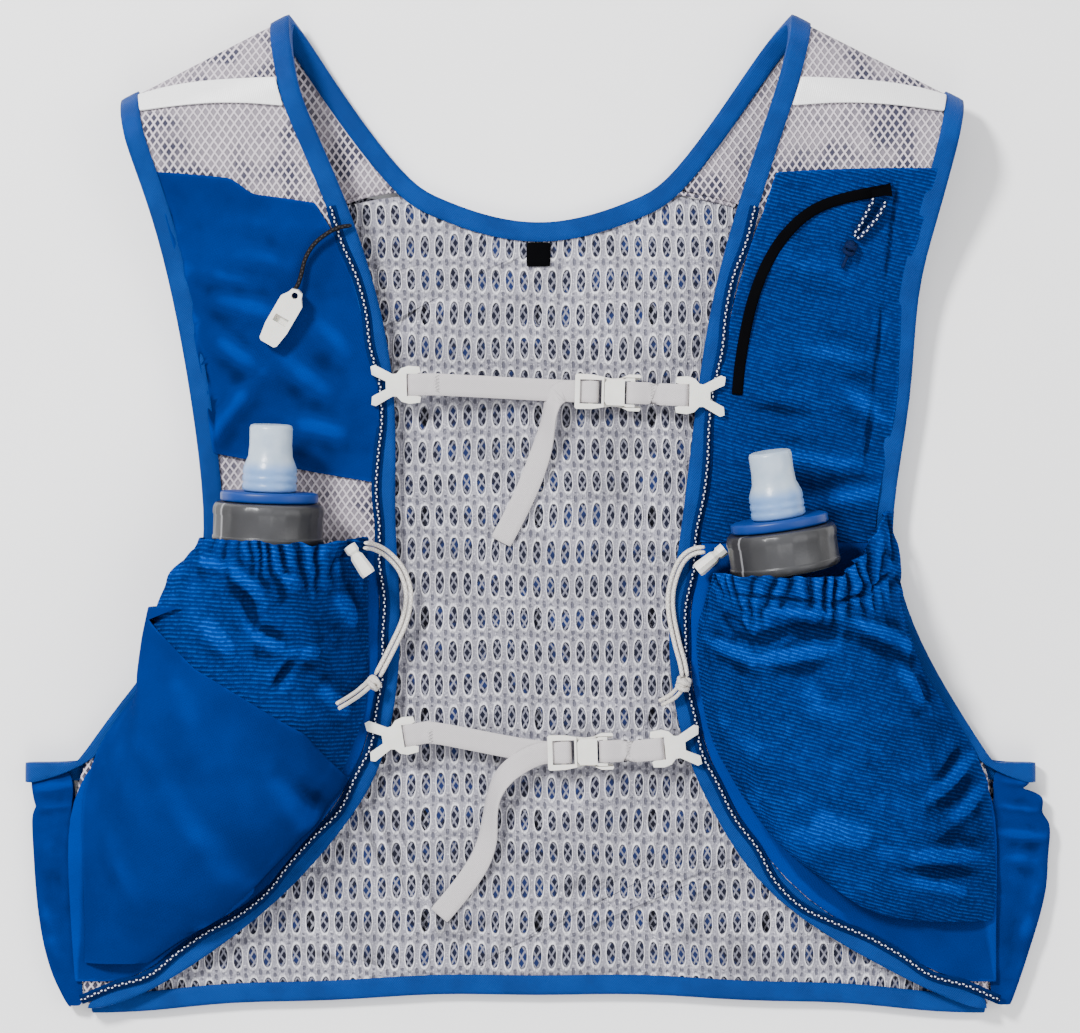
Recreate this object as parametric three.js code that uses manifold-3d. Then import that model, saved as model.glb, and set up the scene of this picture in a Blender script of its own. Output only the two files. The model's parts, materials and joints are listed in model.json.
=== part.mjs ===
// Running hydration vest, lying on its back with its front panels folded up over it.
// Millimetres, +Z up, +Y towards the shoulders, +X to the right when seen from above.
// Left and right are as seen from above. The origin is under the middle of the vest.
import * as THREE from 'three';
import { mergeVertices } from 'three/addons/utils/BufferGeometryUtils.js';
import Module from 'manifold-3d';

const wasm = await Module();
wasm.setup();

// Driving dimensions of the vest
const WIDTH = 470;
const LENGTH = 454;
const SHOULDER_LOFT = 20;
const GAP = 0.3;
const CLOTH = 1.2;
const MESH = 3;
const BINDING_WIDTH = 9;
const SEAM_ALLOWANCE = 8;
const BAND_THICKNESS = 1;
const LABEL_SIDE = 11;
const LABEL_THICKNESS = 1;

// Long oval holes of the back mesh, one in every eighth column and third row
const HOLE_WIDTH = 3.8;
const HOLE_LENGTH = 10;
const HOLE_PITCH_ACROSS = 52;
const HOLE_PITCH_ALONG = 46.2;
const HOLE_MARGIN = 4;

// Soft flasks
const FLASK_WIDTH = 80;
const FLASK_DEPTH = 46;
const FLASK_LENGTH = 176;
const FLASK_CLEARANCE = 1;
const COLLAR_DIAMETER = 50;
const COLLAR_HEIGHT = 19;
const NECK_DIAMETER = 44;
const CAP_WIDTH = 44;
const CAP_DEPTH = 34;
const CAP_HEIGHT = 4.6;
const VALVE_DIAMETER = 20;
const VALVE_HEIGHT = 30;
const SKIRT_DIAMETER = 24.5;
const SKIRT_HEIGHT = 14;

// Pockets
const CHEST_MARGIN = 1.4;
const CHEST_PUFF_LEFT = 5;
const CHEST_PUFF_RIGHT = 3;
const GATHER_DEPTH = 1.6;
const GATHER_COUNT = 7;
const GATHER_REACH = 34;
const ZIP_WIDTH = 5;
const SLIDER_LENGTH = 9;
const SLIDER_WIDTH = 6;
const SLIDER_HEIGHT = 3;

// Cords
const EDGE_CORD = 2.2;
const EDGE_CORD_INSET = 7.5;
const EDGE_CORD_WAVE = 0.8;
const DRAWCORD = 2;
const WHISTLE_CORD = 2;
const ZIP_CORD = 1.8;
const KNOT_DIAMETER = 6;
const LOCK_LENGTH = 16;
const LOCK_DIAMETER = 7;

// Chest straps
const WEBBING = 1;
const WEBBING_WIDTH = 10;
const HOOK_LIFT = 0.8;
const HOOK_THICKNESS = 3.4;
const HOOK_BAR = 1.6;
const BUCKLE_HEIGHT = 5;
const BUCKLE_FLOOR = 1.4;

// Whistle
const WHISTLE_LENGTH = 28;
const WHISTLE_WIDTH = 11;
const WHISTLE_THICKNESS = 7;

// Heights of the layers, from the floor up
const HALF_WIDTH = WIDTH / 2;
const HALF_LENGTH = LENGTH / 2;
const SLOT = MESH / 2 + GAP;
const TAPE_HALF = SLOT + CLOTH;
const BACK_MID = TAPE_HALF;
const FRONT_MID = BACK_MID + 2 * TAPE_HALF + GAP;
const POCKET_FLOOR = FRONT_MID + TAPE_HALF + GAP;
const MESH_INSET = CLOTH + GAP;
const TAPE_INSET = BINDING_WIDTH + GAP;
const CHEST_INSET = TAPE_INSET + CHEST_MARGIN;
const POCKET_OFFSET = FLASK_CLEARANCE + CLOTH / 2;
const OVERLAY_OFFSET = POCKET_OFFSET + CLOTH + 2 * GAP;
const UNDERSIDE_SPREAD = 1.8;
const BUTT = GAP / 2;
const STRETCH_LIMIT = 2.5;
const WELD = 1e-4;

// Each shoulder strap is one strip of mesh from the back seam over the shoulder to the hem corner.
// Columns: heights of the inner and outer edge in half lengths, their distances from the middle
// in half widths on the left and right, the step from the back layer to the front layer (0 to 1),
// and the share of the shoulder loft.
const STRAP_ROWS = [
  { yIn: 0.665, yOut: 0.559, inLeft: 0.243, outLeft: 0.647, inRight: 0.243, outRight: 0.647, front: 0, lift: 0 },
  { yIn: 0.784, yOut: 0.67, inLeft: 0.336, outLeft: 0.723, inRight: 0.332, outRight: 0.723, front: 0, lift: 0 },
  { yIn: 0.916, yOut: 0.775, inLeft: 0.421, outLeft: 0.774, inRight: 0.417, outRight: 0.783, front: 0, lift: 0.08 },
  { yIn: 0.998, yOut: 0.824, inLeft: 0.477, outLeft: 0.802, inRight: 0.485, outRight: 0.817, front: 0.5, lift: 0.42 },
  { yIn: 0.912, yOut: 0.775, inLeft: 0.47, outLeft: 0.798, inRight: 0.472, outRight: 0.811, front: 1, lift: 0.95 },
  { yIn: 0.811, yOut: 0.722, inLeft: 0.447, outLeft: 0.785, inRight: 0.443, outRight: 0.8, front: 1, lift: 1 },
  { yIn: 0.645, yOut: 0.599, inLeft: 0.374, outLeft: 0.743, inRight: 0.39, outRight: 0.77, front: 1, lift: 0.62 },
  { yIn: 0.449, yOut: 0.449, inLeft: 0.309, outLeft: 0.708, inRight: 0.336, outRight: 0.728, front: 1, lift: 0.25 },
  { yIn: 0.242, yOut: 0.242, inLeft: 0.272, outLeft: 0.672, inRight: 0.306, outRight: 0.726, front: 1, lift: 0.06 },
  { yIn: 0, yOut: 0, inLeft: 0.281, outLeft: 0.643, inRight: 0.281, outRight: 0.679, front: 1, lift: 0 },
  { yIn: -0.123, yOut: -0.123, inLeft: 0.27, outLeft: 0.655, inRight: 0.262, outRight: 0.694, front: 1, lift: 0 },
  { yIn: -0.247, yOut: -0.247, inLeft: 0.266, outLeft: 0.711, inRight: 0.249, outRight: 0.736, front: 1, lift: 0 },
  { yIn: -0.379, yOut: -0.379, inLeft: 0.277, outLeft: 0.817, inRight: 0.262, outRight: 0.809, front: 1, lift: 0 },
  { yIn: -0.493, yOut: -0.493, inLeft: 0.302, outLeft: 0.894, inRight: 0.291, outRight: 0.881, front: 1, lift: 0 },
  { yIn: -0.59, yOut: -0.59, inLeft: 0.349, outLeft: 0.902, inRight: 0.336, outRight: 0.877, front: 1, lift: 0 },
  { yIn: -0.771, yOut: -0.771, inLeft: 0.494, outLeft: 0.894, inRight: 0.438, outRight: 0.872, front: 1, lift: 0 },
  { yIn: -0.912, yOut: -0.912, inLeft: 0.685, outLeft: 0.885, inRight: 0.681, outRight: 0.872, front: 1, lift: 0 },
  { yIn: -0.96, yOut: -0.96, inLeft: 0.77, outLeft: 0.88, inRight: 0.779, outRight: 0.872, front: 1, lift: 0 },
  { yIn: -0.985, yOut: -0.985, inLeft: 0.843, outLeft: 0.877, inRight: 0.843, outRight: 0.872, front: 1, lift: 0 },
];
const SEAM_STEP = 0;
const FOLD_STEP = 3;
const SIDE_STEP = 13;
const HEM_STEP = 18;
const STRAP_STEPS = [0, 1, 2, 2.5, 3, 3.5, 4, 4.5, 5, 6, 7, 8, 9, 10, 11, 12, 13, 14, 15, 16, 17, 18];

// Outline of the back, right half, as shares of the half width and half length
const NECKLINE = [
  { x: 0, y: 0.593 }, { x: 0.042, y: 0.595 }, { x: 0.109, y: 0.609 }, { x: 0.174, y: 0.634 }, { x: 0.243, y: 0.665 },
];
const ARMHOLE = [
  { x: 0.647, y: 0.559 }, { x: 0.609, y: 0.352 }, { x: 0.579, y: 0.132 }, { x: 0.579, y: -0.088 },
  { x: 0.617, y: -0.273 }, { x: 0.706, y: -0.405 }, { x: 0.809, y: -0.471 }, { x: 0.898, y: -0.493 },
];
const HEM = [
  { x: 0.898, y: -0.96 }, { x: 0.868, y: -0.998 }, { x: 0.749, y: -0.996 }, { x: 0.6, y: -0.974 },
  { x: 0.4, y: -0.976 }, { x: 0.2, y: -0.956 }, { x: 0, y: -0.965 },
];

// How far the folded side panels reach out, from the top of the side seam to the hem
const SIDE_ROWS_LEFT = [
  { y: -0.5, reach: 0.988 }, { y: -0.573, reach: 0.983 }, { y: -0.582, reach: 0.974 }, { y: -0.594, reach: 0.987 },
  { y: -0.661, reach: 0.982 }, { y: -0.762, reach: 0.978 }, { y: -0.903, reach: 0.957 }, { y: -0.985, reach: 0.915 },
];
const SIDE_ROWS_RIGHT = [
  { y: -0.5, reach: 0.957 }, { y: -0.536, reach: 0.957 }, { y: -0.545, reach: 0.94 }, { y: -0.56, reach: 0.99 },
  { y: -0.596, reach: 0.972 }, { y: -0.611, reach: 1 }, { y: -0.683, reach: 0.989 }, { y: -0.744, reach: 0.991 },
  { y: -0.849, reach: 0.962 }, { y: -0.985, reach: 0.918 },
];

// Sections across each bottle pocket, from its mouth to its toe.
// Columns: share of the flask length from the mouth, seams and centre in half widths, shares of
// the flask's half width and half depth, and the slope and the outer rise of the section line.
const FLASK_ROWS_LEFT = [
  { along: 0, seamIn: 0.34, seamOut: 0.632, centre: 0.517, wide: 0.645, deep: 1.12, slope: -0.1, rise: 3 },
  { along: 0.06, seamIn: 0.34, seamOut: 0.64, centre: 0.53, wide: 0.8, deep: 1.08, slope: -0.09, rise: 2 },
  { along: 0.13, seamIn: 0.34, seamOut: 0.645, centre: 0.56, wide: 0.92, deep: 1.02, slope: -0.05, rise: 0 },
  { along: 0.27, seamIn: 0.34, seamOut: 0.672, centre: 0.582, wide: 0.95, deep: 1, slope: -0.03, rise: 0 },
  { along: 0.44, seamIn: 0.345, seamOut: 0.766, centre: 0.59, wide: 0.95, deep: 0.98, slope: 0, rise: 0 },
  { along: 0.6, seamIn: 0.383, seamOut: 0.847, centre: 0.6, wide: 0.95, deep: 0.9, slope: 0, rise: 0 },
  { along: 0.77, seamIn: 0.46, seamOut: 0.851, centre: 0.625, wide: 0.85, deep: 0.72, slope: 0, rise: 0 },
  { along: 0.93, seamIn: 0.6, seamOut: 0.851, centre: 0.69, wide: 0.62, deep: 0.4, slope: 0, rise: 0 },
  { along: 1.04, seamIn: 0.647, seamOut: 0.847, centre: 0.71, wide: 0.48, deep: 0.14, slope: 0, rise: 0 },
  { along: 1.13, seamIn: 0.74, seamOut: 0.847, centre: 0.785, wide: 0.22, deep: 0.04, slope: 0, rise: 0 },
];
const FLASK_ROWS_RIGHT = [
  { along: 0, seamIn: 0.353, seamOut: 0.66, centre: 0.477, wide: 0.645, deep: 1.12, slope: 0.11, rise: 20 },
  { along: 0.06, seamIn: 0.336, seamOut: 0.677, centre: 0.489, wide: 0.8, deep: 1.08, slope: 0.1, rise: 14 },
  { along: 0.14, seamIn: 0.315, seamOut: 0.685, centre: 0.52, wide: 0.92, deep: 1.02, slope: 0.08, rise: 6 },
  { along: 0.28, seamIn: 0.311, seamOut: 0.723, centre: 0.545, wide: 0.95, deep: 1, slope: 0.06, rise: 0 },
  { along: 0.45, seamIn: 0.336, seamOut: 0.813, centre: 0.575, wide: 0.95, deep: 0.98, slope: 0.04, rise: 0 },
  { along: 0.61, seamIn: 0.4, seamOut: 0.864, centre: 0.606, wide: 0.95, deep: 0.9, slope: 0, rise: 0 },
  { along: 0.75, seamIn: 0.485, seamOut: 0.868, centre: 0.636, wide: 0.86, deep: 0.7, slope: 0, rise: 0 },
  { along: 0.87, seamIn: 0.617, seamOut: 0.868, centre: 0.698, wide: 0.62, deep: 0.36, slope: 0, rise: 0 },
  { along: 0.97, seamIn: 0.723, seamOut: 0.864, centre: 0.77, wide: 0.36, deep: 0.12, slope: 0, rise: 0 },
  { along: 1.04, seamIn: 0.77, seamOut: 0.864, centre: 0.81, wide: 0.18, deep: 0.04, slope: 0, rise: 0 },
];

// Sections at which flasks and pockets are drawn, so that their faces run side by side
const FLASK_STATIONS = [0.045, 0.09, 0.16, 0.28, 0.37, 0.45, 0.56, 0.7, 0.85, 0.93];
const POCKET_END = 0.98;

// Soft folds of the chest pockets: from step and share across to step and share across
const CHEST_FOLDS_LEFT = [
  { step: 6.3, across: 0.95, toStep: 7.2, toAcross: 0.55, height: 1.4, spread: 0.1 },
  { step: 6.1, across: 0.1, toStep: 7.4, toAcross: 0.45, height: 1.2, spread: 0.09 },
  { step: 7.6, across: 0.9, toStep: 8.4, toAcross: 0.3, height: 1.5, spread: 0.1 },
];
const CHEST_FOLDS_RIGHT = [
  { step: 7.2, across: 0.75, toStep: 8.6, toAcross: 0.5, height: 1.3, spread: 0.1 },
  { step: 6.4, across: 0.6, toStep: 7.4, toAcross: 0.9, height: 1, spread: 0.08 },
];

const LEFT = {
  name: 'left', sign: -1, inner: 'inLeft', outer: 'outLeft', side: SIDE_ROWS_LEFT, flask: FLASK_ROWS_LEFT,
  mouth: -0.04, heading: 0.035, tilt: 0.06, collarCentre: 0.517, puff: CHEST_PUFF_LEFT, folds: CHEST_FOLDS_LEFT,
  chestTop: 5.95, chestTopSlant: -0.55, chestEnd: 8.72, chestEndSlant: -0.25, gussetTop: 9.45,
  lock: { x: -82.4, y: -16.6, z: 38.4, turn: 0.6 }, seat: 0.088,
};
const RIGHT = {
  name: 'right', sign: 1, inner: 'inRight', outer: 'outRight', side: SIDE_ROWS_RIGHT, flask: FLASK_ROWS_RIGHT,
  mouth: -0.097, heading: 0.145, tilt: 0.1, collarCentre: 0.473, puff: CHEST_PUFF_RIGHT, folds: CHEST_FOLDS_RIGHT,
  chestTop: 5.7, chestTopSlant: -0.4, chestEnd: 9.3, chestEndSlant: 0, gussetTop: 9.36,
  lock: { x: 80.6, y: -17.2, z: 23.2, turn: -0.89 }, seat: 0.12,
};
const SIDES = [LEFT, RIGHT];

// Cord routes, points chosen by hand where the cords lie
const DRAWCORD_ROUTE_LEFT = [
  [-78, -12.8, 35], [-74, -13.6, 25.4], [-68.6, -16.8, 18.2], [-62.5, -23.7, 15.4], [-59.4, -32.4, 13.7],
  [-59.4, -40, 13.6], [-61.4, -48.4, 13.9], [-65.2, -56.8, 15.8], [-69.6, -65.6, 17.4], [-73, -72, 18],
];
const DRAWCORD_TAIL_LEFT = [[-79.6, -79, 24], [-85, -82, 31], [-90, -84.8, 37.4]];
const DRAWCORD_ROUTE_RIGHT = [
  [75.2, -14.8, 22.4], [70.8, -15.4, 20], [66.2, -18.4, 17.6], [62.6, -24.8, 15.6], [60.2, -34.4, 14.4], [60.4, -44.5, 14.4],
  [62.9, -57.1, 15.8], [65.4, -66.4, 17.4], [66.4, -72.4, 18.4],
];
const DRAWCORD_TAIL_RIGHT = [[64.4, -79.4, 18.2], [60.4, -82, 16.4], [55.6, -84.6, 13.6]];
const WHISTLE_CORD_ROUTE = [
  [-84.6, 131.8, 24.4], [-90.4, 130.6, 26.6], [-96, 127.6, 27.2], [-101.6, 122.8, 27], [-105.4, 116.4, 26.2],
  [-107.2, 109.4, 25.6],
];
const ZIP_STRANDS = {
  a: [[151.2, 143.6, 29.6], [148.4, 138, 28.4], [145.4, 132, 27.2], [142.4, 126.8, 26.2]],
  b: [[156.6, 142, 29.6], [153, 135.4, 28.4], [148.2, 129.6, 27.2], [143.9, 125.1, 26.2]],
};
const ZIP_TAIL = [[139.4, 117.4, 25], [137.4, 112.6, 24.2]];

// Chest straps: where the hooks and buckles lie, their headings, and the loose tails
// with the turn of the webbing about its own length
const STRAPS = [
  {
    name: 'upper',
    hookLeft: { x: -58.8, y: 60.2, heading: 0.02 }, hookRight: { x: 67.5, y: 55.4, heading: -0.03 },
    buckle: { x: 16.6, y: 57.2, z: 8.6, heading: -0.03 },
    tail: [
      { x: 11.6, y: 57.2, z: 11.6, turn: 0 }, { x: 7.4, y: 54.4, z: 13, turn: 0.5 },
      { x: 5, y: 46.6, z: 12.4, turn: 0.95 }, { x: 3.6, y: 38, z: 10.4, turn: 0.7 },
      { x: 0.4, y: 27, z: 8, turn: 0.25 }, { x: -4.6, y: 13.6, z: 6.4, turn: 0.05 },
      { x: -10.4, y: 1.4, z: 6, turn: 0 }, { x: -17.2, y: -11.4, z: 6, turn: 0 },
    ],
  },
  {
    name: 'lower',
    hookLeft: { x: -60.5, y: -100.4, heading: 0.16 }, hookRight: { x: 56.4, y: -104.6, heading: 0.1 },
    buckle: { x: 4.2, y: -107.4, z: 8.6, heading: 0.03 },
    tail: [
      { x: -1.4, y: -108.4, z: 11.6, turn: 0 }, { x: -8.6, y: -112, z: 12.4, turn: 0.1 },
      { x: -15.6, y: -117.8, z: 12, turn: 0.45 }, { x: -20, y: -125.8, z: 11, turn: 0.9 },
      { x: -22, y: -135.6, z: 10, turn: 0.9 }, { x: -23, y: -147.4, z: 8.4, turn: 0.5 },
      { x: -27.6, y: -159, z: 6.8, turn: 0.15 }, { x: -36.6, y: -171.6, z: 6, turn: 0 },
      { x: -45.4, y: -182, z: 6, turn: 0 },
    ],
  },
];

// Colours and finishes
const material = (color, roughness, metalness = 0) =>
  new THREE.MeshStandardMaterial({ color, roughness, metalness });
const FINISH = {
  plainCloth: () => material('#1450a8', 0.7),
  ribbedCloth: () => material('#1a5bb8', 0.75),
  liningCloth: () => material('#1b2a52', 0.85),
  spacerMesh: () => material('#bab8c4', 0.85),
  netMesh: () => material('#b4aab2', 0.85),
  tape: () => material('#1257b8', 0.6),
  reflective: () => material('#e8e8e6', 0.4),
  edgeCord: () => material('#16397f', 0.7),
  paleCord: () => material('#e3ddd2', 0.75),
  darkCord: () => material('#15161a', 0.75),
  webbing: () => material('#c6c1c2', 0.8),
  whitePlastic: () => material('#ece9e1', 0.4),
  smokedPlastic: () => material('#5b5754', 0.3),
  bluePlastic: () => material('#1660c0', 0.4),
  siliconeRubber: () => material('#d5dfe9', 0.35),
  flaskFilm: () => material('#b9c8d6', 0.3),
  zipTape: () => material('#17181c', 0.8),
};

const vest = new THREE.Group();

// Plain helpers
const lerp = THREE.MathUtils.lerp;
const clamp = THREE.MathUtils.clamp;
const vector = (x, y, z) => new THREE.Vector3(x, y, z);

// Smooth value through evenly spaced entries
function spline(values, t) {
  const last = values.length - 1;
  const i = clamp(Math.floor(t), 0, last - 1);
  const f = t - i;
  const before = values[Math.max(i - 1, 0)];
  const start = values[i];
  const end = values[i + 1];
  const after = values[Math.min(i + 2, last)];
  const slope = (end - before) * f;
  const bend = (2 * before - 5 * start + 4 * end - after) * f * f;
  const twist = (3 * start - before - 3 * end + after) * f * f * f;
  return start + (slope + bend + twist) / 2;
}

// Welds a geometry and turns its faces outwards
function tidy(geometry) {
  const bare = geometry.clone();
  bare.deleteAttribute('normal');
  bare.deleteAttribute('uv');
  const welded = mergeVertices(bare, WELD);
  const place = welded.attributes.position;
  const index = Array.from(welded.index.array);
  const corner = (k) => vector(place.getX(k), place.getY(k), place.getZ(k));
  const faces = [];
  let volume = 0;
  for (let i = 0; i < index.length; i += 3) {
    const [a, b, c] = [index[i], index[i + 1], index[i + 2]];
    if (a === b || b === c || c === a) continue;
    faces.push(a, b, c);
    volume += corner(a).dot(corner(b).cross(corner(c)));
  }
  if (volume < 0) faces.reverse();
  welded.setIndex(faces);
  return welded;
}

function solidOf(geometry) {
  const clean = tidy(geometry);
  const mesh = new wasm.Mesh({
    numProp: 3,
    vertProperties: new Float32Array(clean.attributes.position.array),
    triVerts: new Uint32Array(clean.index.array),
  });
  return new wasm.Manifold(mesh);
}

function geometryOf(solid) {
  const mesh = solid.getMesh();
  const geometry = new THREE.BufferGeometry();
  geometry.setAttribute('position', new THREE.BufferAttribute(new Float32Array(mesh.vertProperties), 3));
  geometry.setIndex(Array.from(mesh.triVerts));
  return geometry;
}

function join(...geometries) {
  return geometryOf(geometries.map(solidOf).reduce((sum, solid) => sum.add(solid)));
}

function cut(geometry, ...tools) {
  return geometryOf(tools.map(solidOf).reduce((rest, tool) => rest.subtract(tool), solidOf(geometry)));
}

function addPiece(name, geometry, finish, matrix) {
  const shape = tidy(geometry);
  shape.computeVertexNormals();
  const mesh = new THREE.Mesh(shape, finish());
  mesh.name = name;
  if (matrix) mesh.applyMatrix4(matrix);
  vest.add(mesh);
}

function buildGeometry(points, faces) {
  const geometry = new THREE.BufferGeometry();
  geometry.setAttribute('position', new THREE.Float32BufferAttribute(points.flatMap((p) => p.toArray()), 3));
  geometry.setIndex(faces);
  return geometry;
}

// A wall between two grids of points, rows[i][j], closed round its rim
function wall(upper, lower) {
  const rows = upper.length;
  const columns = upper[0].length;
  const points = [...upper.flat(), ...lower.flat()];
  const half = rows * columns;
  const faces = [];
  const quad = (a, b, c, d) => faces.push(a, b, c, a, c, d);
  const at = (i, j) => i * columns + j;
  for (let i = 0; i < rows - 1; i += 1) {
    for (let j = 0; j < columns - 1; j += 1) {
      quad(at(i, j), at(i + 1, j), at(i + 1, j + 1), at(i, j + 1));
      quad(half + at(i, j), half + at(i, j + 1), half + at(i + 1, j + 1), half + at(i + 1, j));
    }
  }
  const rim = [];
  for (let j = 0; j < columns - 1; j += 1) rim.push(at(0, j));
  for (let i = 0; i < rows - 1; i += 1) rim.push(at(i, columns - 1));
  for (let j = columns - 1; j > 0; j -= 1) rim.push(at(rows - 1, j));
  for (let i = rows - 1; i > 0; i -= 1) rim.push(at(i, 0));
  rim.forEach((a, k) => {
    const b = rim[(k + 1) % rim.length];
    quad(a, b, half + b, half + a);
  });
  return buildGeometry(points, faces);
}

// A sheet whose middle is place(i, j) = { p, n }, with its faces at the offsets low and high
function sheet(rows, columns, place, low, high) {
  const level = (offset) => Array.from({ length: rows }, (_, i) => Array.from({ length: columns }, (_, j) => {
    const { p, n } = place(i, j);
    return p.clone().addScaledVector(n, offset);
  }));
  return wall(level(high), level(low));
}

// A solid swept through rings of points, with flat ends or closed into a loop
function sweep(rings, closed = false) {
  const count = rings[0].length;
  const faces = [];
  const steps = closed ? rings.length : rings.length - 1;
  for (let i = 0; i < steps; i += 1) {
    const next = (i + 1) % rings.length;
    for (let j = 0; j < count; j += 1) {
      const k = (j + 1) % count;
      faces.push(i * count + j, i * count + k, next * count + k);
      faces.push(i * count + j, next * count + k, next * count + j);
    }
  }
  if (!closed) {
    const last = (rings.length - 1) * count;
    for (const [a, b, c] of endFaces(rings[0])) faces.push(a, c, b);
    for (const [a, b, c] of endFaces(rings[rings.length - 1])) faces.push(last + a, last + b, last + c);
  }
  return buildGeometry(rings.flat(), faces);
}

// Triangles over a ring, found in the plane that the ring lies in
function endFaces(ring) {
  const normal = vector(0, 0, 0);
  ring.forEach((p, i) => normal.add(p.clone().cross(ring[(i + 1) % ring.length])));
  normal.normalize();
  const across = ring[1].clone().sub(ring[0]).normalize();
  const up = normal.clone().cross(across);
  const flat = ring.map((p) => new THREE.Vector2(p.dot(across), p.dot(up)));
  return THREE.ShapeUtils.triangulateShape(flat, []);
}

function boxBetween(low, high) {
  const size = high.map((value, i) => value - low[i]);
  const geometry = new THREE.BoxGeometry(...size);
  return geometry.translate(...low.map((value, i) => value + size[i] / 2));
}

function prism(outline, low, high) {
  const shape = new THREE.Shape(outline.map(([x, y]) => new THREE.Vector2(x, y)));
  const geometry = new THREE.ExtrudeGeometry(shape, { depth: high - low, bevelEnabled: false });
  return geometry.translate(0, 0, low);
}

// A plate with holes that run right through it
function extrude(outline, low, high, holes = []) {
  const plate = prism(outline, low, high);
  return holes.length === 0 ? plate : cut(plate, ...holes.map((hole) => prism(hole, low - 1, high + 1)));
}

// A round cord along a smooth curve through the points
function cordTube(points, diameter, steps, sides = 8) {
  const section = [];
  for (let i = 0; i < sides; i += 1) {
    const angle = (i / sides) * 2 * Math.PI;
    section.push(new THREE.Vector2(Math.cos(angle), Math.sin(angle)).multiplyScalar(diameter / 2));
  }
  const path = new THREE.CatmullRomCurve3(points.map((p) => (p.isVector3 ? p : vector(...p))), false, 'centripetal');
  return new THREE.ExtrudeGeometry(new THREE.Shape(section), { steps, bevelEnabled: false, extrudePath: path });
}

// Shoulder straps: the middle surface and the direction away from the wearer at each step
function strapEdge(side, t, edge) {
  const isInner = edge === 'inner';
  const column = (key) => spline(STRAP_ROWS.map((row) => row[key]), t);
  const x = side.sign * HALF_WIDTH * column(side[edge]);
  const y = HALF_LENGTH * column(isInner ? 'yIn' : 'yOut');
  const z = lerp(BACK_MID, FRONT_MID, column('front')) + SHOULDER_LOFT * column('lift');
  return vector(x, y, z);
}

function strapStation(side, t) {
  const small = 0.02;
  const station = { t };
  const inner = strapEdge(side, t, 'inner');
  const outer = strapEdge(side, t, 'outer');
  const across = outer.clone().sub(inner);
  station.width = across.length();
  station.across = across.normalize();
  for (const edge of ['inner', 'outer']) {
    const ahead = strapEdge(side, Math.min(t + small, HEM_STEP), edge);
    const along = ahead.sub(strapEdge(side, Math.max(t - small, 0), edge)).normalize();
    const normal = station.across.clone().cross(along).multiplyScalar(-side.sign);
    const stretch = Math.min(1 / normal.length(), STRETCH_LIMIT);
    station[edge] = { point: edge === 'inner' ? inner : outer, normal: normal.normalize(), stretch };
  }
  return station;
}

for (const side of SIDES) side.stations = STRAP_STEPS.map((t) => strapStation(side, t));

// Reads a value between two stations
function strapBlend(side, t, read) {
  const last = side.stations.length - 1;
  let i = 0;
  while (i < last - 1 && side.stations[i + 1].t < t) i += 1;
  const [a, b] = [side.stations[i], side.stations[i + 1]];
  return read(a, b, (t - a.t) / (b.t - a.t));
}

// Share across the strap at a true distance in from its inner edge or its outer edge
function strapShare(side, t, edge, distance) {
  const share = (station) => (distance * station[edge].stretch) / station.width;
  const value = strapBlend(side, t, (a, b, f) => lerp(share(a), share(b), f));
  return edge === 'inner' ? value : 1 - value;
}

function strapPoint(side, t, s) {
  return strapBlend(side, t, (a, b, f) => {
    const mix = (key, edge) => a[edge][key].clone().lerp(b[edge][key], f);
    const p = mix('point', 'inner').lerp(mix('point', 'outer'), s);
    const n = mix('normal', 'inner').lerp(mix('normal', 'outer'), s);
    return { p, n: n.normalize() };
  });
}

// Step and share across of a place on the front panel, found by halving
function strapAt(side, x, y) {
  let s = 0.5;
  let t = 8;
  for (let round = 0; round < 8; round += 1) {
    let [low, high] = [4.5, HEM_STEP];
    for (let k = 0; k < 24; k += 1) {
      t = (low + high) / 2;
      if (strapPoint(side, t, s).p.y > y) low = t;
      else high = t;
    }
    const [inner, outer] = [strapPoint(side, t, 0).p.x, strapPoint(side, t, 1).p.x];
    s = clamp((x - inner) / (outer - inner), -0.3, 1.3);
  }
  return { t, s };
}

function strapSheet(side, steps, columns, inset, low, high) {
  const place = (i, j) => {
    const t = steps[i];
    const s = lerp(strapShare(side, t, 'inner', inset.inner(t)), strapShare(side, t, 'outer', inset.outer(t)),
      j / (columns - 1));
    return strapPoint(side, t, s);
  };
  return sheet(steps.length, columns, place, low, high);
}

// A frame on the front panel: X along the heading, Z away from the panel
function panelFrame(side, x, y, heading, offset) {
  const { t, s } = strapAt(side, x, y);
  const { p, n } = strapPoint(side, t, s);
  const up = n.clone();
  const ahead = vector(Math.cos(heading), Math.sin(heading), 0);
  ahead.addScaledVector(up, -ahead.dot(up)).normalize();
  const matrix = new THREE.Matrix4().makeBasis(ahead, up.clone().cross(ahead), up);
  return matrix.setPosition(p.addScaledVector(up, offset));
}

// Back outline: points in order with the kind of each edge that follows
const share = ({ x, y }) => new THREE.Vector2(x * HALF_WIDTH, y * HALF_LENGTH);
const mirrored = (points) => points.map((p) => new THREE.Vector2(-p.x, p.y)).reverse();
function curvePoints(rows, steps) {
  const path = new THREE.SplineCurve(rows.map(share));
  return path.getPoints(steps);
}

const necklineRight = curvePoints(NECKLINE, 5);
const armholeRight = curvePoints(ARMHOLE, 9);
const hemRight = HEM.map(share);
const neckline = [...mirrored(necklineRight), ...necklineRight.slice(1)];
const hemline = [...hemRight, ...mirrored(hemRight).slice(1)];

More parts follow.
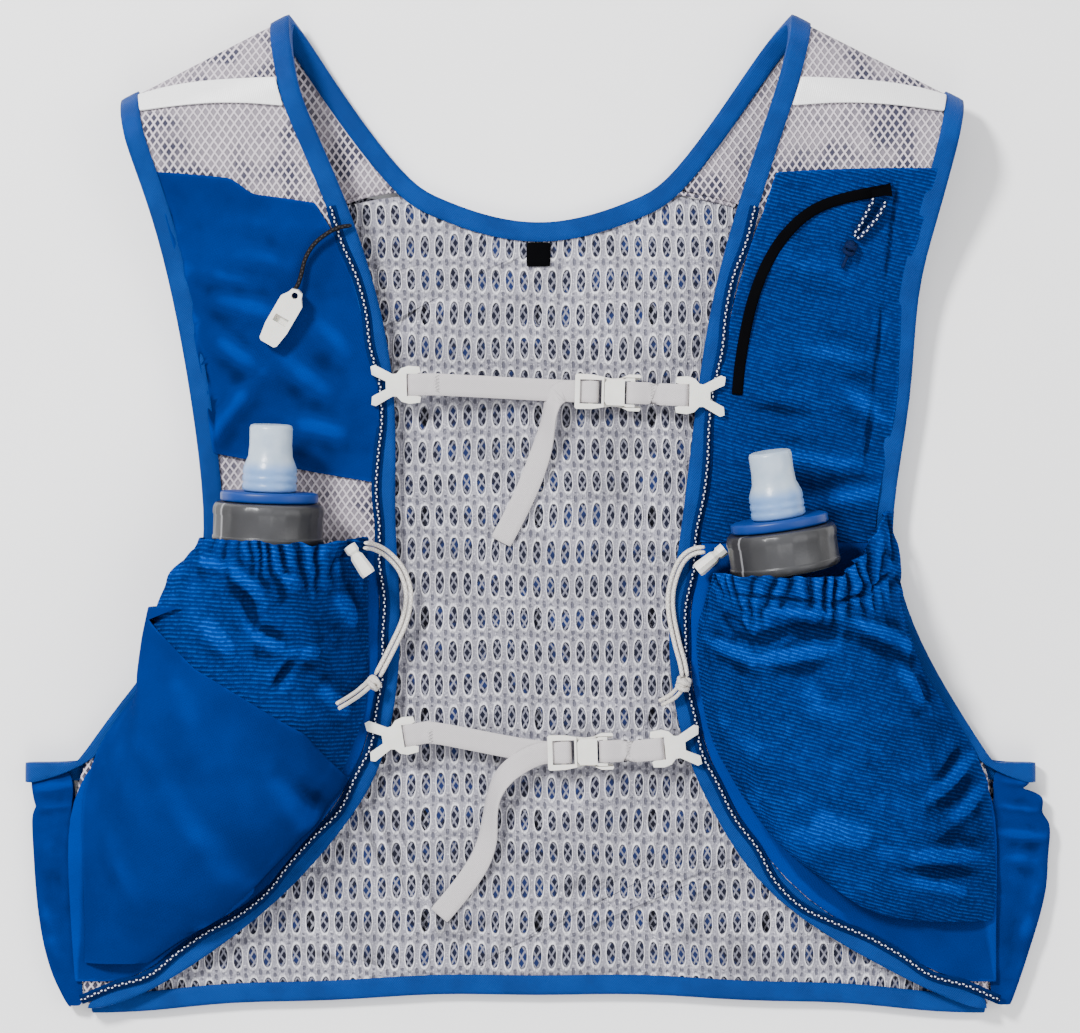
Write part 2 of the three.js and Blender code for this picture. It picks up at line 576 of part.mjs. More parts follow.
const backOutline = [];
function addEdges(points, kind) {
  for (const point of points) backOutline.push({ point, kind });
}
addEdges(neckline.slice(0, -1), 'tape');
addEdges([neckline[neckline.length - 1]], 'seam');
addEdges(armholeRight.slice(0, -1), 'tape');
addEdges([armholeRight[armholeRight.length - 1]], 'side');
addEdges(hemline.slice(0, -1), 'tape');
addEdges([hemline[hemline.length - 1]], 'side');
addEdges(mirrored(armholeRight).slice(0, -1), 'tape');
addEdges([mirrored(armholeRight)[armholeRight.length - 1]], 'seam');

// The back outline with every edge moved inwards by the distance for its kind
function insetOutline(distances) {
  const count = backOutline.length;
  const lines = backOutline.map(({ point, kind }, i) => {
    const next = backOutline[(i + 1) % count].point;
    const along = next.clone().sub(point).normalize();
    const inward = new THREE.Vector2(along.y, -along.x);
    return { start: point.clone().addScaledVector(inward, distances[kind]), along };
  });
  return lines.map((line, i) => {
    const before = lines[(i + count - 1) % count];
    const turn = before.along.cross(line.along);
    if (Math.abs(turn) < 1e-6) return line.start.toArray();
    const reach = line.start.clone().sub(before.start).cross(line.along) / turn;
    return before.start.clone().addScaledVector(before.along, reach).toArray();
  });
}

function isInside([x, y], polygon) {
  let inside = false;
  polygon.forEach(([ax, ay], i) => {
    const [bx, by] = polygon[(i + 1) % polygon.length];
    if (ay > y !== by > y && x < ax + ((y - ay) / (by - ay)) * (bx - ax)) inside = !inside;
  });
  return inside;
}

function makeBack() {
  const shell = insetOutline({ tape: TAPE_INSET, seam: -SEAM_ALLOWANCE, side: BUTT });
  addPiece('back_shell', extrude(shell, 0, CLOTH), FINISH.liningCloth);

  const margin = BINDING_WIDTH + HOLE_MARGIN;
  const field = insetOutline({ tape: margin, seam: HOLE_MARGIN, side: HOLE_MARGIN });
  const [halfWide, halfLong] = [HOLE_WIDTH / 2, HOLE_LENGTH / 2];
  const oval = [
    [halfWide, -halfLong / 2], [halfWide, halfLong / 2], [0, halfLong],
    [-halfWide, halfLong / 2], [-halfWide, -halfLong / 2], [0, -halfLong],
  ];
  const holes = [];
  const columns = Math.ceil(HALF_WIDTH / HOLE_PITCH_ACROSS);
  const rows = Math.ceil(HALF_LENGTH / HOLE_PITCH_ALONG);
  for (let row = -rows; row <= rows; row += 1) {
    for (let column = -columns; column <= columns; column += 1) {
      const hole = oval.map(([x, y]) => [x + column * HOLE_PITCH_ACROSS, y + row * HOLE_PITCH_ALONG]);
      if (hole.every((point) => isInside(point, field))) holes.push(hole);
    }
  }
  const slab = insetOutline({ tape: MESH_INSET, seam: BUTT, side: BUTT });
  addPiece('back_mesh', extrude(slab, BACK_MID - MESH / 2, BACK_MID + MESH / 2, holes), FINISH.spacerMesh);

  const labelTop = neckline[Math.floor(neckline.length / 2)].y - TAPE_INSET;
  const labelLow = BACK_MID + MESH / 2 + GAP;
  const label = boxBetween(
    [-LABEL_SIDE / 2, labelTop - LABEL_SIDE, labelLow],
    [LABEL_SIDE / 2, labelTop, labelLow + LABEL_THICKNESS],
  );
  addPiece('size_label', label, FINISH.zipTape);
}

// Section of a folded tape at a station { p, b, n, reach }: b points into the cloth, n outwards
function tapeRing({ p, b, n, nArm = n, stretch, limit }) {
  const arm = Math.min(BINDING_WIDTH * stretch, limit);
  const back = Math.min(CLOTH * stretch, limit / 2);
  const section = [
    [0, TAPE_HALF], [arm, TAPE_HALF], [arm, SLOT], [back, SLOT],
    [back, -SLOT], [arm, -SLOT], [arm, -TAPE_HALF], [0, -TAPE_HALF],
  ];
  return section.map(([inward, out]) =>
    p.clone().addScaledVector(b, inward).addScaledVector(inward === arm ? nArm : n, out));
}

function strapTapeStation(side, station, edge) {
  const direction = edge === 'inner' ? 1 : -1;
  const far = edge === 'inner' ? 'outer' : 'inner';
  const arm = (BINDING_WIDTH * station[edge].stretch) / station.width;
  return {
    nArm: station[edge].normal.clone().lerp(station[far].normal, Math.min(arm, 1)).normalize(),
    p: station[edge].point,
    b: station.across.clone().multiplyScalar(direction),
    n: station[edge].normal,
    stretch: station[edge].stretch,
    limit: station.width * 0.9,
  };
}

// Stations along flat outline points of the back, mitred between their neighbours
function flatTapeStations(points, before, after) {
  const all = [before, ...points, after].filter((point) => point !== undefined);
  const first = before === undefined ? 0 : 1;
  return points.map((point, k) => {
    const i = k + first;
    const directions = [];
    if (i > 0) directions.push(all[i].clone().sub(all[i - 1]).normalize());
    if (i < all.length - 1) directions.push(all[i + 1].clone().sub(all[i]).normalize());
    const along = directions.reduce((sum, d) => sum.clone().add(d)).normalize();
    const inward = vector(along.y, -along.x, 0);
    return {
      p: vector(point.x, point.y, BACK_MID),
      b: inward,
      n: vector(0, 0, -1),
      stretch: 1 / Math.max(along.dot(directions[0]), 1 / STRETCH_LIMIT),
      limit: BINDING_WIDTH * STRETCH_LIMIT,
    };
  });
}

const flat = (point) => new THREE.Vector2(point.x, point.y);

function makeNeckBinding() {
  const left = LEFT.stations.filter((station) => station.t >= 1).reverse();
  const right = RIGHT.stations.filter((station) => station.t >= 1);
  const rings = [
    ...left.map((station) => strapTapeStation(LEFT, station, 'inner')),
    ...flatTapeStations(neckline, flat(left[left.length - 1].inner.point), flat(right[0].inner.point)),
    ...right.map((station) => strapTapeStation(RIGHT, station, 'inner')),
  ].map(tapeRing);
  addPiece('neck_binding', sweep(rings), FINISH.tape);
}

function makeHemBinding() {
  const path = hemline.slice(1, -1);
  addPiece('hem_binding', sweep(flatTapeStations(path).map(tapeRing)), FINISH.tape);
}

// Fold of a side panel at a height: front seam, bend round the side, back seam
function sideFold(side, y, reach, bendSteps) {
  const radius = (FRONT_MID - BACK_MID) / 2;
  const { t } = strapAt(side, side.sign * HALF_WIDTH, y);
  const frontX = Math.abs(strapPoint(side, t, 1).p.x) + BUTT;
  const backX = share(ARMHOLE[ARMHOLE.length - 1]).x + BUTT;
  const bendX = reach * HALF_WIDTH - CLOTH / 2 - radius;
  const points = [];
  const add = (x, z, nx, nz) => points.push({
    p: vector(side.sign * x, y, z), n: vector(side.sign * nx, 0, nz),
  });
  add(frontX, FRONT_MID, 0, 1);
  for (let k = 0; k <= bendSteps; k += 1) {
    const angle = Math.PI / 2 - (k / bendSteps) * Math.PI;
    add(bendX + radius * Math.cos(angle), BACK_MID + radius + radius * Math.sin(angle),
      Math.cos(angle), Math.sin(angle));
  }
  add(backX, BACK_MID, 0, -1);
  return points;
}

function makeSide(side) {
  const bendSteps = 5;
  const top = HALF_LENGTH * STRAP_ROWS[SIDE_STEP].yOut;
  const rows = side.side.map(({ y, reach }, i) =>
    sideFold(side, i === 0 ? top - MESH_INSET : y * HALF_LENGTH, reach, bendSteps));
  const place = (i, j) => rows[i][j];
  addPiece(`side_panel_${side.name}`, sheet(rows.length, rows[0].length, place, -CLOTH / 2, CLOTH / 2),
    FINISH.plainCloth);

  const overSide = sideFold(side, top, side.side[0].reach, bendSteps).slice(1, -1).map(({ p, n }) => ({
    p, n, b: vector(0, -1, 0), stretch: 1, limit: BINDING_WIDTH,
  }));
  const strap = side.stations.filter(({ t }) => t >= 1 && t <= SIDE_STEP);
  const back = (side.sign < 0 ? mirrored(armholeRight) : armholeRight.slice().reverse());
  const flatBack = flatTapeStations(back.slice(), undefined, flat(strap[0].outer.point));
  for (const station of flatBack) if (side.sign > 0) station.b.negate();
  const rings = [
    ...strap.map((station) => strapTapeStation(side, station, 'outer')),
    ...overSide,
    ...flatBack,
  ].map(tapeRing);
  addPiece(`armhole_binding_${side.name}`, sweep(rings, true), FINISH.tape);
}

function makeStrap(side) {
  const seamStart = 0.01;
  const endStep = HEM_STEP - 0.4;
  const steps = [seamStart, ...STRAP_STEPS.filter((t) => t > SEAM_STEP && t < endStep), endStep];
  const isFold = (t) => t > FOLD_STEP - 1 && t < FOLD_STEP + 1;
  const inset = {
    inner: (t) => (isFold(t) ? 2 * MESH_INSET : MESH_INSET),
    outer: (t) => (t <= SIDE_STEP ? MESH_INSET : BUTT),
  };
  addPiece(`strap_mesh_${side.name}`, strapSheet(side, steps, 4, inset, -MESH / 2, MESH / 2), FINISH.netMesh);

  const gussetEnd = HEM_STEP - 1.6;
  const gussetSteps = [side.gussetTop, ...STRAP_STEPS.filter((t) => t > side.gussetTop && t < gussetEnd), gussetEnd];
  const gussetInset = { inner: () => TAPE_INSET, outer: (t) => (t <= SIDE_STEP ? TAPE_INSET : BUTT) };
  addPiece(`gusset_${side.name}`, strapSheet(side, gussetSteps, 4, gussetInset, SLOT, TAPE_HALF), FINISH.plainCloth);

  const band = { top: 4.3, end: 4.85, slant: -1, low: TAPE_HALF - CLOTH / 2, rows: 4, columns: 5 };
  const bandPlace = (i, j) => {
    const u = j / (band.columns - 1);
    const t = lerp(band.top, band.end, i / (band.rows - 1)) + band.slant * u;
    const s = lerp(strapShare(side, t, 'inner', TAPE_INSET), strapShare(side, t, 'outer', TAPE_INSET), u);
    return strapPoint(side, t, s);
  };
  addPiece(`reflective_band_${side.name}`,
    sheet(band.rows, band.columns, bandPlace, band.low, band.low + BAND_THICKNESS), FINISH.reflective);
}

// Chest pockets: how far the cloth stands off the strap
function chestPuff(side, t, u, v) {
  const crown = side.puff * Math.sin(Math.PI * u) ** 2 * Math.sin(Math.PI * clamp(v, 0, 1)) ** 1.5;
  let fold = 0;
  for (const { step, across, toStep, toAcross, height, spread } of side.folds) {
    const along = clamp(((t - step) * (toStep - step) + (u - across) * (toAcross - across)) /
      ((toStep - step) ** 2 + (toAcross - across) ** 2), 0, 1);
    const away = Math.hypot(t - lerp(step, toStep, along), u - lerp(across, toAcross, along));
    fold += height * Math.exp(-((away / spread) ** 2)) * Math.sin(Math.PI * u) * Math.sin(Math.PI * clamp(v, 0, 1));
  }
  return crown + fold;
}

// Place on a chest pocket from shares across and down, with the cloth's inner face as its offset
function chestPlace(side, u, v) {
  const top = side.chestTop + side.chestTopSlant * u;
  const end = side.chestEnd + side.chestEndSlant * u;
  const t = lerp(top, end, v);
  const s = lerp(strapShare(side, t, 'inner', CHEST_INSET), strapShare(side, t, 'outer', CHEST_INSET), u);
  const { p, n } = strapPoint(side, t, s);
  return { p: p.addScaledVector(n, SLOT + chestPuff(side, t, u, v)), n };
}

// Height of the chest pocket's outer face over the strap at a place seen from above
function chestOffset(side, x, y) {
  const { t, s } = strapAt(side, x, y);
  const inner = strapShare(side, t, 'inner', CHEST_INSET);
  const u = clamp((s - inner) / (strapShare(side, t, 'outer', CHEST_INSET) - inner), 0, 1);
  const top = side.chestTop + side.chestTopSlant * u;
  const v = (t - top) / (side.chestEnd + side.chestEndSlant * u - top);
  return SLOT + chestPuff(side, t, u, v) + CLOTH;
}

function makeChestPocket(side) {
  const [rows, columns] = side.sign < 0 ? [9, 8] : [11, 8];
  const place = (i, j) => chestPlace(side, j / (columns - 1), i / (rows - 1));
  addPiece(`upper_pocket_${side.name}`, sheet(rows, columns, place, 0, CLOTH),
    side.sign < 0 ? FINISH.plainCloth : FINISH.ribbedCloth);
}

// The zip of the right chest pocket curves from the shoulder down to the inner edge
const ZIP_ROUTE = [
  { x: 0.674, y: 0.655 }, { x: 0.545, y: 0.625 }, { x: 0.467, y: 0.555 }, { x: 0.419, y: 0.455 },
  { x: 0.393, y: 0.335 }, { x: 0.384, y: 0.245 },
];

function makeZip() {
  const lift = 2 * GAP + CLOTH / 2;
  const path = new THREE.SplineCurve(ZIP_ROUTE.map(share)).getPoints(14);
  const rings = path.map((point, i) => {
    const next = path[Math.min(i + 1, path.length - 1)].clone().sub(path[Math.max(i - 1, 0)]);
    const heading = Math.atan2(next.y, next.x);
    const offset = chestOffset(RIGHT, point.x, point.y) + lift;
    const frame = panelFrame(RIGHT, point.x, point.y, heading, offset);
    const half = ZIP_WIDTH / 2;
    const corners = [[-half, -CLOTH / 2], [half, -CLOTH / 2], [half, CLOTH / 2], [-half, CLOTH / 2]];
    return corners.map(([across, up]) => vector(0, across, up).applyMatrix4(frame));
  });
  addPiece('zip_tape', sweep(rings), FINISH.zipTape);

  const start = path[0].clone().lerp(path[1], 0.4);
  const heading = Math.atan2(path[1].y - path[0].y, path[1].x - path[0].x);
  const top = chestOffset(RIGHT, start.x, start.y) + lift + CLOTH / 2 + GAP;
  const [halfLong, halfWide] = [SLIDER_LENGTH / 2, SLIDER_WIDTH / 2];
  const slider = extrude([
    [-halfLong, -halfWide], [0, -halfWide * 0.6], [halfLong, -halfWide * 0.6],
    [halfLong, halfWide * 0.6], [0, halfWide * 0.6], [-halfLong, halfWide],
  ], 0, SLIDER_HEIGHT);
  addPiece('zip_slider', slider, FINISH.zipTape, panelFrame(RIGHT, start.x, start.y, heading, top));

  for (const [name, route] of Object.entries(ZIP_STRANDS)) {
    addPiece(`zip_pull_strand_${name}`, cordTube(route, ZIP_CORD, 5), FINISH.edgeCord);
  }
  const end = vector(...ZIP_STRANDS.a[ZIP_STRANDS.a.length - 1]);
  const toTail = vector(...ZIP_TAIL[0]).sub(end).normalize();
  const middle = end.clone().addScaledVector(toTail, KNOT_DIAMETER / 2 + 2 * GAP + ZIP_CORD / 2);
  const knot = new THREE.SphereGeometry(KNOT_DIAMETER * 0.45, 8, 5).translate(...middle.toArray());
  const tail = cordTube([middle, ...ZIP_TAIL], ZIP_CORD, 3);
  addPiece('zip_pull_knot', join(knot, tail), FINISH.edgeCord);
}

// Bottle pockets: cloth drawn tight over the flask from its inner seam to its outer seam
function flaskSection(side, along) {
  const rows = side.flask;
  let i = 0;
  while (i < rows.length - 2 && rows[i + 1].along < along) i += 1;
  const f = clamp((along - rows[i].along) / (rows[i + 1].along - rows[i].along), 0, 1);
  const value = (key) => spline(rows.map((row) => row[key]), i + f);
  const y = HALF_LENGTH * side.mouth - along * FLASK_LENGTH;
  const { t } = strapAt(side, side.sign * value('centre') * HALF_WIDTH, y);
  const bindingEnd = Math.abs(strapPoint(side, t, strapShare(side, t, 'inner', CHEST_INSET)).p.x);
  const seamIn = Math.max(value('seamIn') * HALF_WIDTH, bindingEnd + OVERLAY_OFFSET + CLOTH);
  const seamOut = value('seamOut') * HALF_WIDTH;
  // Where the flask ends and the cloth lies flat, the section stays between its seams
  const flatness = clamp(2 * (1 - value('deep')), 0, 1);
  const fullHalf = (value('wide') * FLASK_WIDTH) / 2;
  const halfWide = lerp(fullHalf, Math.min(fullHalf, (seamOut - seamIn) / 2), flatness);
  const fullCentre = value('centre') * HALF_WIDTH;
  const centre = lerp(fullCentre, clamp(fullCentre, seamIn + halfWide, seamOut - halfWide), flatness);
  return {
    y,
    seamIn,
    seamOut,
    centre,
    halfWide,
    halfDeep: (value('deep') * FLASK_DEPTH) / 2,
    slope: value('slope'),
    rise: value('rise'),
  };
}

// Point on the tight cloth, u from the inner seam to the outer seam, at a distance off the flask
function pocketPoint(side, along, u, offset) {
  const section = flaskSection(side, along);
  const { halfWide, halfDeep, centre } = section;
  const [a, b] = [halfWide + offset, halfDeep + offset];
  const middle = POCKET_FLOOR + GAP + halfDeep;
  const seamHeight = POCKET_FLOOR + CLOTH / 2;
  const touch = (x, way) => {
    const [px, pz] = [(x - centre) / a, (seamHeight - middle) / b];
    const angle = Math.atan2(pz, px) + (way > 0 && px < 0 ? 2 * Math.PI : 0);
    return angle - way * Math.acos(Math.min(1 / Math.hypot(px, pz), 1));
  };
  const seams = [section.seamIn - offset, section.seamOut + UNDERSIDE_SPREAD * offset];
  const angles = [touch(seams[0], 1), touch(seams[1], -1)];
  const lineShare = 0.14;
  const arc = clamp((u - lineShare) / (1 - 2 * lineShare), 0, 1);
  const angle = lerp(angles[0], angles[1], arc);
  let x = centre + a * Math.cos(angle);
  let z = middle + b * Math.sin(angle);
  if (u < lineShare) {
    x = lerp(seams[0], x, u / lineShare);
    z = lerp(seamHeight, z, u / lineShare);
  } else if (u > 1 - lineShare) {
    x = lerp(seams[1], x, (1 - u) / lineShare);
    z = lerp(seamHeight, z, (1 - u) / lineShare);
  }
  const bend = section.rise * clamp((x - centre) / (seams[1] - centre), 0, 1) ** 2;
  const y = section.y + section.slope * (x - centre) + bend;
  const n = vector(side.sign * Math.cos(angle) / a, 0, Math.sin(angle) / b).normalize();
  return { p: vector(side.sign * x, y, z), n };
}

function gather(along, u) {
  const fade = clamp(1 - (along * FLASK_LENGTH) / GATHER_REACH, 0, 1) ** 1.5;
  return (GATHER_DEPTH / 2) * (1 - Math.cos(2 * Math.PI * GATHER_COUNT * u)) * fade;
}

function makeBottlePocket(side) {
  const rows = [0, ...FLASK_STATIONS, POCKET_END];
  const columns = 2 * GATHER_COUNT + 1;
  const place = (i, j) => {
    const u = j / (columns - 1);
    const point = pocketPoint(side, rows[i], u, POCKET_OFFSET);
    point.p.addScaledVector(point.n, gather(rows[i], u));
    return point;
  };
  addPiece(`bottle_pocket_${side.name}`, sheet(rows.length, columns, place, -CLOTH / 2, CLOTH / 2),
    FINISH.ribbedCloth);
}

// The smooth pocket over the lower left bottle pocket, from a slanting top edge to the hem
const OVERLAY_TOP = [
  { u: 0, along: 0.62 }, { u: 0.2, along: 0.5 }, { u: 0.5, along: 0.33 }, { u: 0.8, along: 0.2 }, { u: 1, along: 0.17 },
];

function makeOverlay() {
  const side = LEFT;
  const rows = [...FLASK_STATIONS.slice(1), POCKET_END, 1.04, 1.1];
  const columns = 2 * GATHER_COUNT + 1;
  const place = (i, j) => {
    if (j > 0) return pocketPoint(side, rows[i], (j - 1) / (columns - 1), OVERLAY_OFFSET);
    const { p } = pocketPoint(side, rows[i], 0, OVERLAY_OFFSET);
    const { t } = strapAt(side, p.x, p.y);
    const edge = strapPoint(side, t, strapShare(side, t, 'inner', CHEST_INSET)).p;
    return { p: vector(edge.x, p.y, p.z), n: vector(0, 0, 1) };
  };
  const full = sheet(rows.length, columns + 1, place, -CLOTH / 2, CLOTH / 2);
  const rim = OVERLAY_TOP.map(({ u, along }) => pocketPoint(side, along, u, OVERLAY_OFFSET).p);
  const above = [
    [-HALF_WIDTH / 4, rim[0].y], ...rim.map(({ x, y }) => [x, y]),
    [-HALF_WIDTH, rim[rim.length - 1].y], [-HALF_WIDTH, HALF_LENGTH], [-HALF_WIDTH / 4, HALF_LENGTH],
  ];
  addPiece('overlay_pocket_left', cut(full, prism(above, 0, LENGTH)), FINISH.plainCloth);
}

function makeFlask(side) {
  const points = 14;
  const ring = (along, round) => {
    const { y, centre, halfWide, halfDeep, slope } = flaskSection(side, along);
    const radii = round ? [NECK_DIAMETER / 2, NECK_DIAMETER / 2] : [halfWide, Math.min(halfDeep, FLASK_DEPTH / 2)];
    const middle = POCKET_FLOOR + GAP + halfDeep;
    return Array.from({ length: points }, (_, k) => {
      const angle = (k / points) * 2 * Math.PI;
      const x = radii[0] * Math.cos(angle);
      return vector(side.sign * (centre + x), y + slope * x, middle + radii[1] * Math.sin(angle));
    });
  };
  const rings = FLASK_STATIONS.map((along, i) => ring(along, i === 0));
  addPiece(`flask_body_${side.name}`, sweep(rings), FINISH.flaskFilm);

  const neck = flaskSection(side, FLASK_STATIONS[0]);
  const seat = COLLAR_DIAMETER * side.seat;
  const head = new THREE.Group();
  head.position.set(side.sign * side.collarCentre * HALF_WIDTH, neck.y + seat, POCKET_FLOOR + GAP + neck.halfDeep);
  head.rotation.set(side.tilt, 0, side.heading * side.sign);
  vest.add(head);

  const lathe = (profile, segments) =>
    new THREE.LatheGeometry(profile.map(([r, h]) => new THREE.Vector2(r, h)), segments);
  const addToHead = (name, geometry, finish) => {
    const mesh = new THREE.Mesh(tidy(geometry), finish());
    mesh.name = `${name}_${side.name}`;
    head.add(mesh);
  };

  const collarRadius = COLLAR_DIAMETER / 2;
  const collar = lathe([
    [0, 0], [collarRadius * 0.94, 0], [collarRadius, COLLAR_HEIGHT * 0.08],
    [collarRadius, COLLAR_HEIGHT * 0.88], [collarRadius * 0.93, COLLAR_HEIGHT], [0, COLLAR_HEIGHT],
  ], 18);
  addToHead('flask_collar', collar, FINISH.smokedPlastic);

  const capLow = COLLAR_HEIGHT + GAP;
  const capTop = capLow + CAP_HEIGHT;
  const outline = Array.from({ length: 16 }, (_, k) => {
    const angle = (k / 16) * 2 * Math.PI;
    return [(CAP_WIDTH / 2) * Math.cos(angle), (CAP_DEPTH / 2) * Math.sin(angle)];
  });
  addToHead('flask_cap', extrude(outline, 0, CAP_HEIGHT).rotateX(-Math.PI / 2).translate(0, capLow, 0),
    FINISH.bluePlastic);

  const valveLow = capTop + GAP;
  const [valveRadius, skirtRadius] = [VALVE_DIAMETER / 2, SKIRT_DIAMETER / 2];
  const valve = lathe([
    [0, valveLow], [skirtRadius * 0.94, valveLow], [skirtRadius, valveLow + 2],
    [skirtRadius * 0.95, valveLow + SKIRT_HEIGHT * 0.5], [valveRadius * 1.04, valveLow + SKIRT_HEIGHT],
    [valveRadius, valveLow + VALVE_HEIGHT - 1.5], [valveRadius * 0.9, valveLow + VALVE_HEIGHT],
    [0, valveLow + VALVE_HEIGHT],
  ], 12);
  addToHead('bite_valve', valve, FINISH.siliconeRubber);
}

// Edge cord sewn down beside the front binding, gently waving
function edgeCordPoints(side) {
  const points = [];
  const [start, end, steps] = [6.1, 17.3, 36];
  for (let k = 0; k <= steps; k += 1) {
    const t = lerp(start, end, k / steps);
    const inset = EDGE_CORD_INSET + EDGE_CORD_WAVE * Math.sin(k * 1.7);
    const { p, n } = strapPoint(side, t, strapShare(side, t, 'inner', inset));
    points.push(p.addScaledVector(n, TAPE_HALF + GAP + EDGE_CORD / 2));
  }
  return points;
}

function makeEdgeCord(side) {
  side.edgeCord = edgeCordPoints(side);
  addPiece(`edge_cord_${side.name}`, cordTube(side.edgeCord, EDGE_CORD, 26, 5), FINISH.edgeCord);
}

// A flat hook: its slot and bar are at the origin, its two prongs point along +X
function hookGeometry() {
  const half = [
    [-3.6, 5.4], [-5, 5.8], [-4.6, 7.8], [0, 8.2], [3.2, 7.2], [5.4, 4.9], [7.5, 4.7],
    [15.2, 8.9], [16.8, 8.4], [16.4, 5.2], [10.2, 2],
  ];
  const outline = [...half, ...half.map(([x, y]) => [x, -y]).reverse()];
  const slotHalf = WEBBING_WIDTH / 2 + 0.4;
  const slot = [[-1, -slotHalf], [1.2, -slotHalf], [1.2, slotHalf], [-1, slotHalf]];
  const barLow = (HOOK_THICKNESS - HOOK_BAR) / 2;
  const plate = extrude(outline, 0, HOOK_THICKNESS, [slot]);
  const over = boxBetween([-6, -slotHalf, barLow + HOOK_BAR], [0, slotHalf, HOOK_THICKNESS + 1]);
  const under = boxBetween([-6, -slotHalf, -1], [0, slotHalf, barLow]);
  return cut(plate, over, under);
}

function hookFrame(side, { x, y, heading }) {
  const turn = side.sign < 0 ? Math.PI + heading : heading;
  return panelFrame(side, x + side.sign * 6, y, turn, TAPE_HALF + HOOK_LIFT).multiply(
    new THREE.Matrix4().makeTranslation(-6, 0, 0),
  );
}

function addHook(name, side, place) {
  const frame = hookFrame(side, place);
  const near = side.edgeCord.filter((p) => Math.abs(p.y - place.y) < 40);
  const groove = cordTube(near, EDGE_CORD + 2 * GAP + 0.4, near.length, 6);
  groove.applyMatrix4(frame.clone().invert());
  addPiece(name, cut(hookGeometry(), groove), FINISH.whitePlastic, frame);
  return frame;
}

// Buckle: a frame with a ladder and a floor, and a tongue that lies in it
function buckleFrameGeometry() {
  const half = [
    [0, 7.2], [0.8, 8], [8, 7.8], [13, 6.9], [17, 6.3], [21, 6.7], [24.5, 8.3], [29.4, 8.3], [30, 7.4], [29.6, 6.2],
  ];
  const outline = [...half, ...half.map(([x, y]) => [x, -y]).reverse()];
  const slotHalf = WEBBING_WIDTH / 2 + 0.5;
  const endBar = BUCKLE_HEIGHT - 1.6;
  const body = cut(
    extrude(outline, 0, BUCKLE_HEIGHT),
    boxBetween([2.2, -slotHalf, -1], [12.2, slotHalf, BUCKLE_HEIGHT + 1]),
    boxBetween([-1, -slotHalf, -1], [2.3, slotHalf, endBar]),
    boxBetween([13.2, -6.9, BUCKLE_FLOOR], [32, 6.9, BUCKLE_HEIGHT + 1]),
    boxBetween([21, -5.9, -1], [32, 5.9, BUCKLE_HEIGHT + 1]),
  );
  const bar = boxBetween([6.2, -slotHalf - 0.5, 2.1], [8.4, slotHalf + 0.5, 3.4]);
  return join(body, bar);
}

function buckleTongueGeometry() {
  const low = BUCKLE_FLOOR + GAP;
  const half = [[13.5, 4.2], [14.6, 5.8], [22.3, 6], [23.4, 6.6], [27.2, 6.6]];
  const outline = [...half, ...half.map(([x, y]) => [x, -y]).reverse()];
  const slotHalf = WEBBING_WIDTH / 2 + 0.3;
  const slot = [[22.6, -slotHalf], [25.2, -slotHalf], [25.2, slotHalf], [22.6, slotHalf]];
  return extrude(outline, low, BUCKLE_HEIGHT, [slot]);
}

// Flat webbing through places { p, turn }, its width level and turned about its length
function webbingGeometry(places) {
  const rings = places.map(({ p, side }, i) => {
    const ahead = places[Math.min(i + 1, places.length - 1)].p.clone();
    const along = ahead.sub(places[Math.max(i - 1, 0)].p).normalize();
    const across = side.clone().addScaledVector(along, -side.dot(along)).normalize();
    const up = along.clone().cross(across);
    const [half, thick] = [WEBBING_WIDTH / 2, WEBBING / 2];
    const corners = [[-half, -thick], [half, -thick], [half, thick], [-half, thick]];
    return corners.map(([w, h]) => p.clone().addScaledVector(across, w).addScaledVector(up, h));
  });
  return sweep(rings);
}

// Webbing in the slots of a hook or buckle: local places in the frame, width along its Y
function localPlaces(frame, points, way) {
  const across = vector(0, way, 0).transformDirection(frame);
  return points.map(([x, z]) => ({ p: vector(x, 0, z).applyMatrix4(frame), side: across }));
}

const HOOK_LOOP = [
  [-13, 1.05], [-8, 1.05], [-4.6, 0.1], [-0.7, 0.1], [0.3, 1.7],
  [-0.7, 3.3], [-4.6, 3.3], [-8.4, 2.35], [-13, 2.35],
];
const LADDER_LOOP = [
  [-6, 1.3], [8, 1.3], [9.6, 1.5], [10.4, 2.75], [9.6, 4], [8.2, 4.2], [6.4, 4.2], [3, 2.8], [1.4, 2.6], [-2, 2.6],
];
const TONGUE_LOOP = [
  [34.5, 2.5], [31, 1.9], [28.5, 1.1], [25.6, 0.9], [24.6, 1.3], [23.9, 2.6], [23.9, 3.8], [24.6, 5.5],
  [25.6, 5.8], [28.5, 5.6], [31, 4.8], [34.5, 3.8],
];

function tailPlaces(tail) {
  const curve = new THREE.CatmullRomCurve3(tail.map(({ x, y, z }) => vector(x, y, z)), false, 'centripetal');
  const steps = Math.round(1.6 * (tail.length - 1));
  return Array.from({ length: steps + 1 }, (_, k) => {
    const t = k / steps;
    const along = curve.getTangent(t);
    const level = vector(along.y, -along.x, 0).normalize();
    const turn = spline(tail.map((row) => row.turn), t * (tail.length - 1));
    const side = level.multiplyScalar(-Math.cos(turn)).add(vector(0, 0, Math.sin(turn)));
    return { p: curve.getPoint(t), side };
  });
}

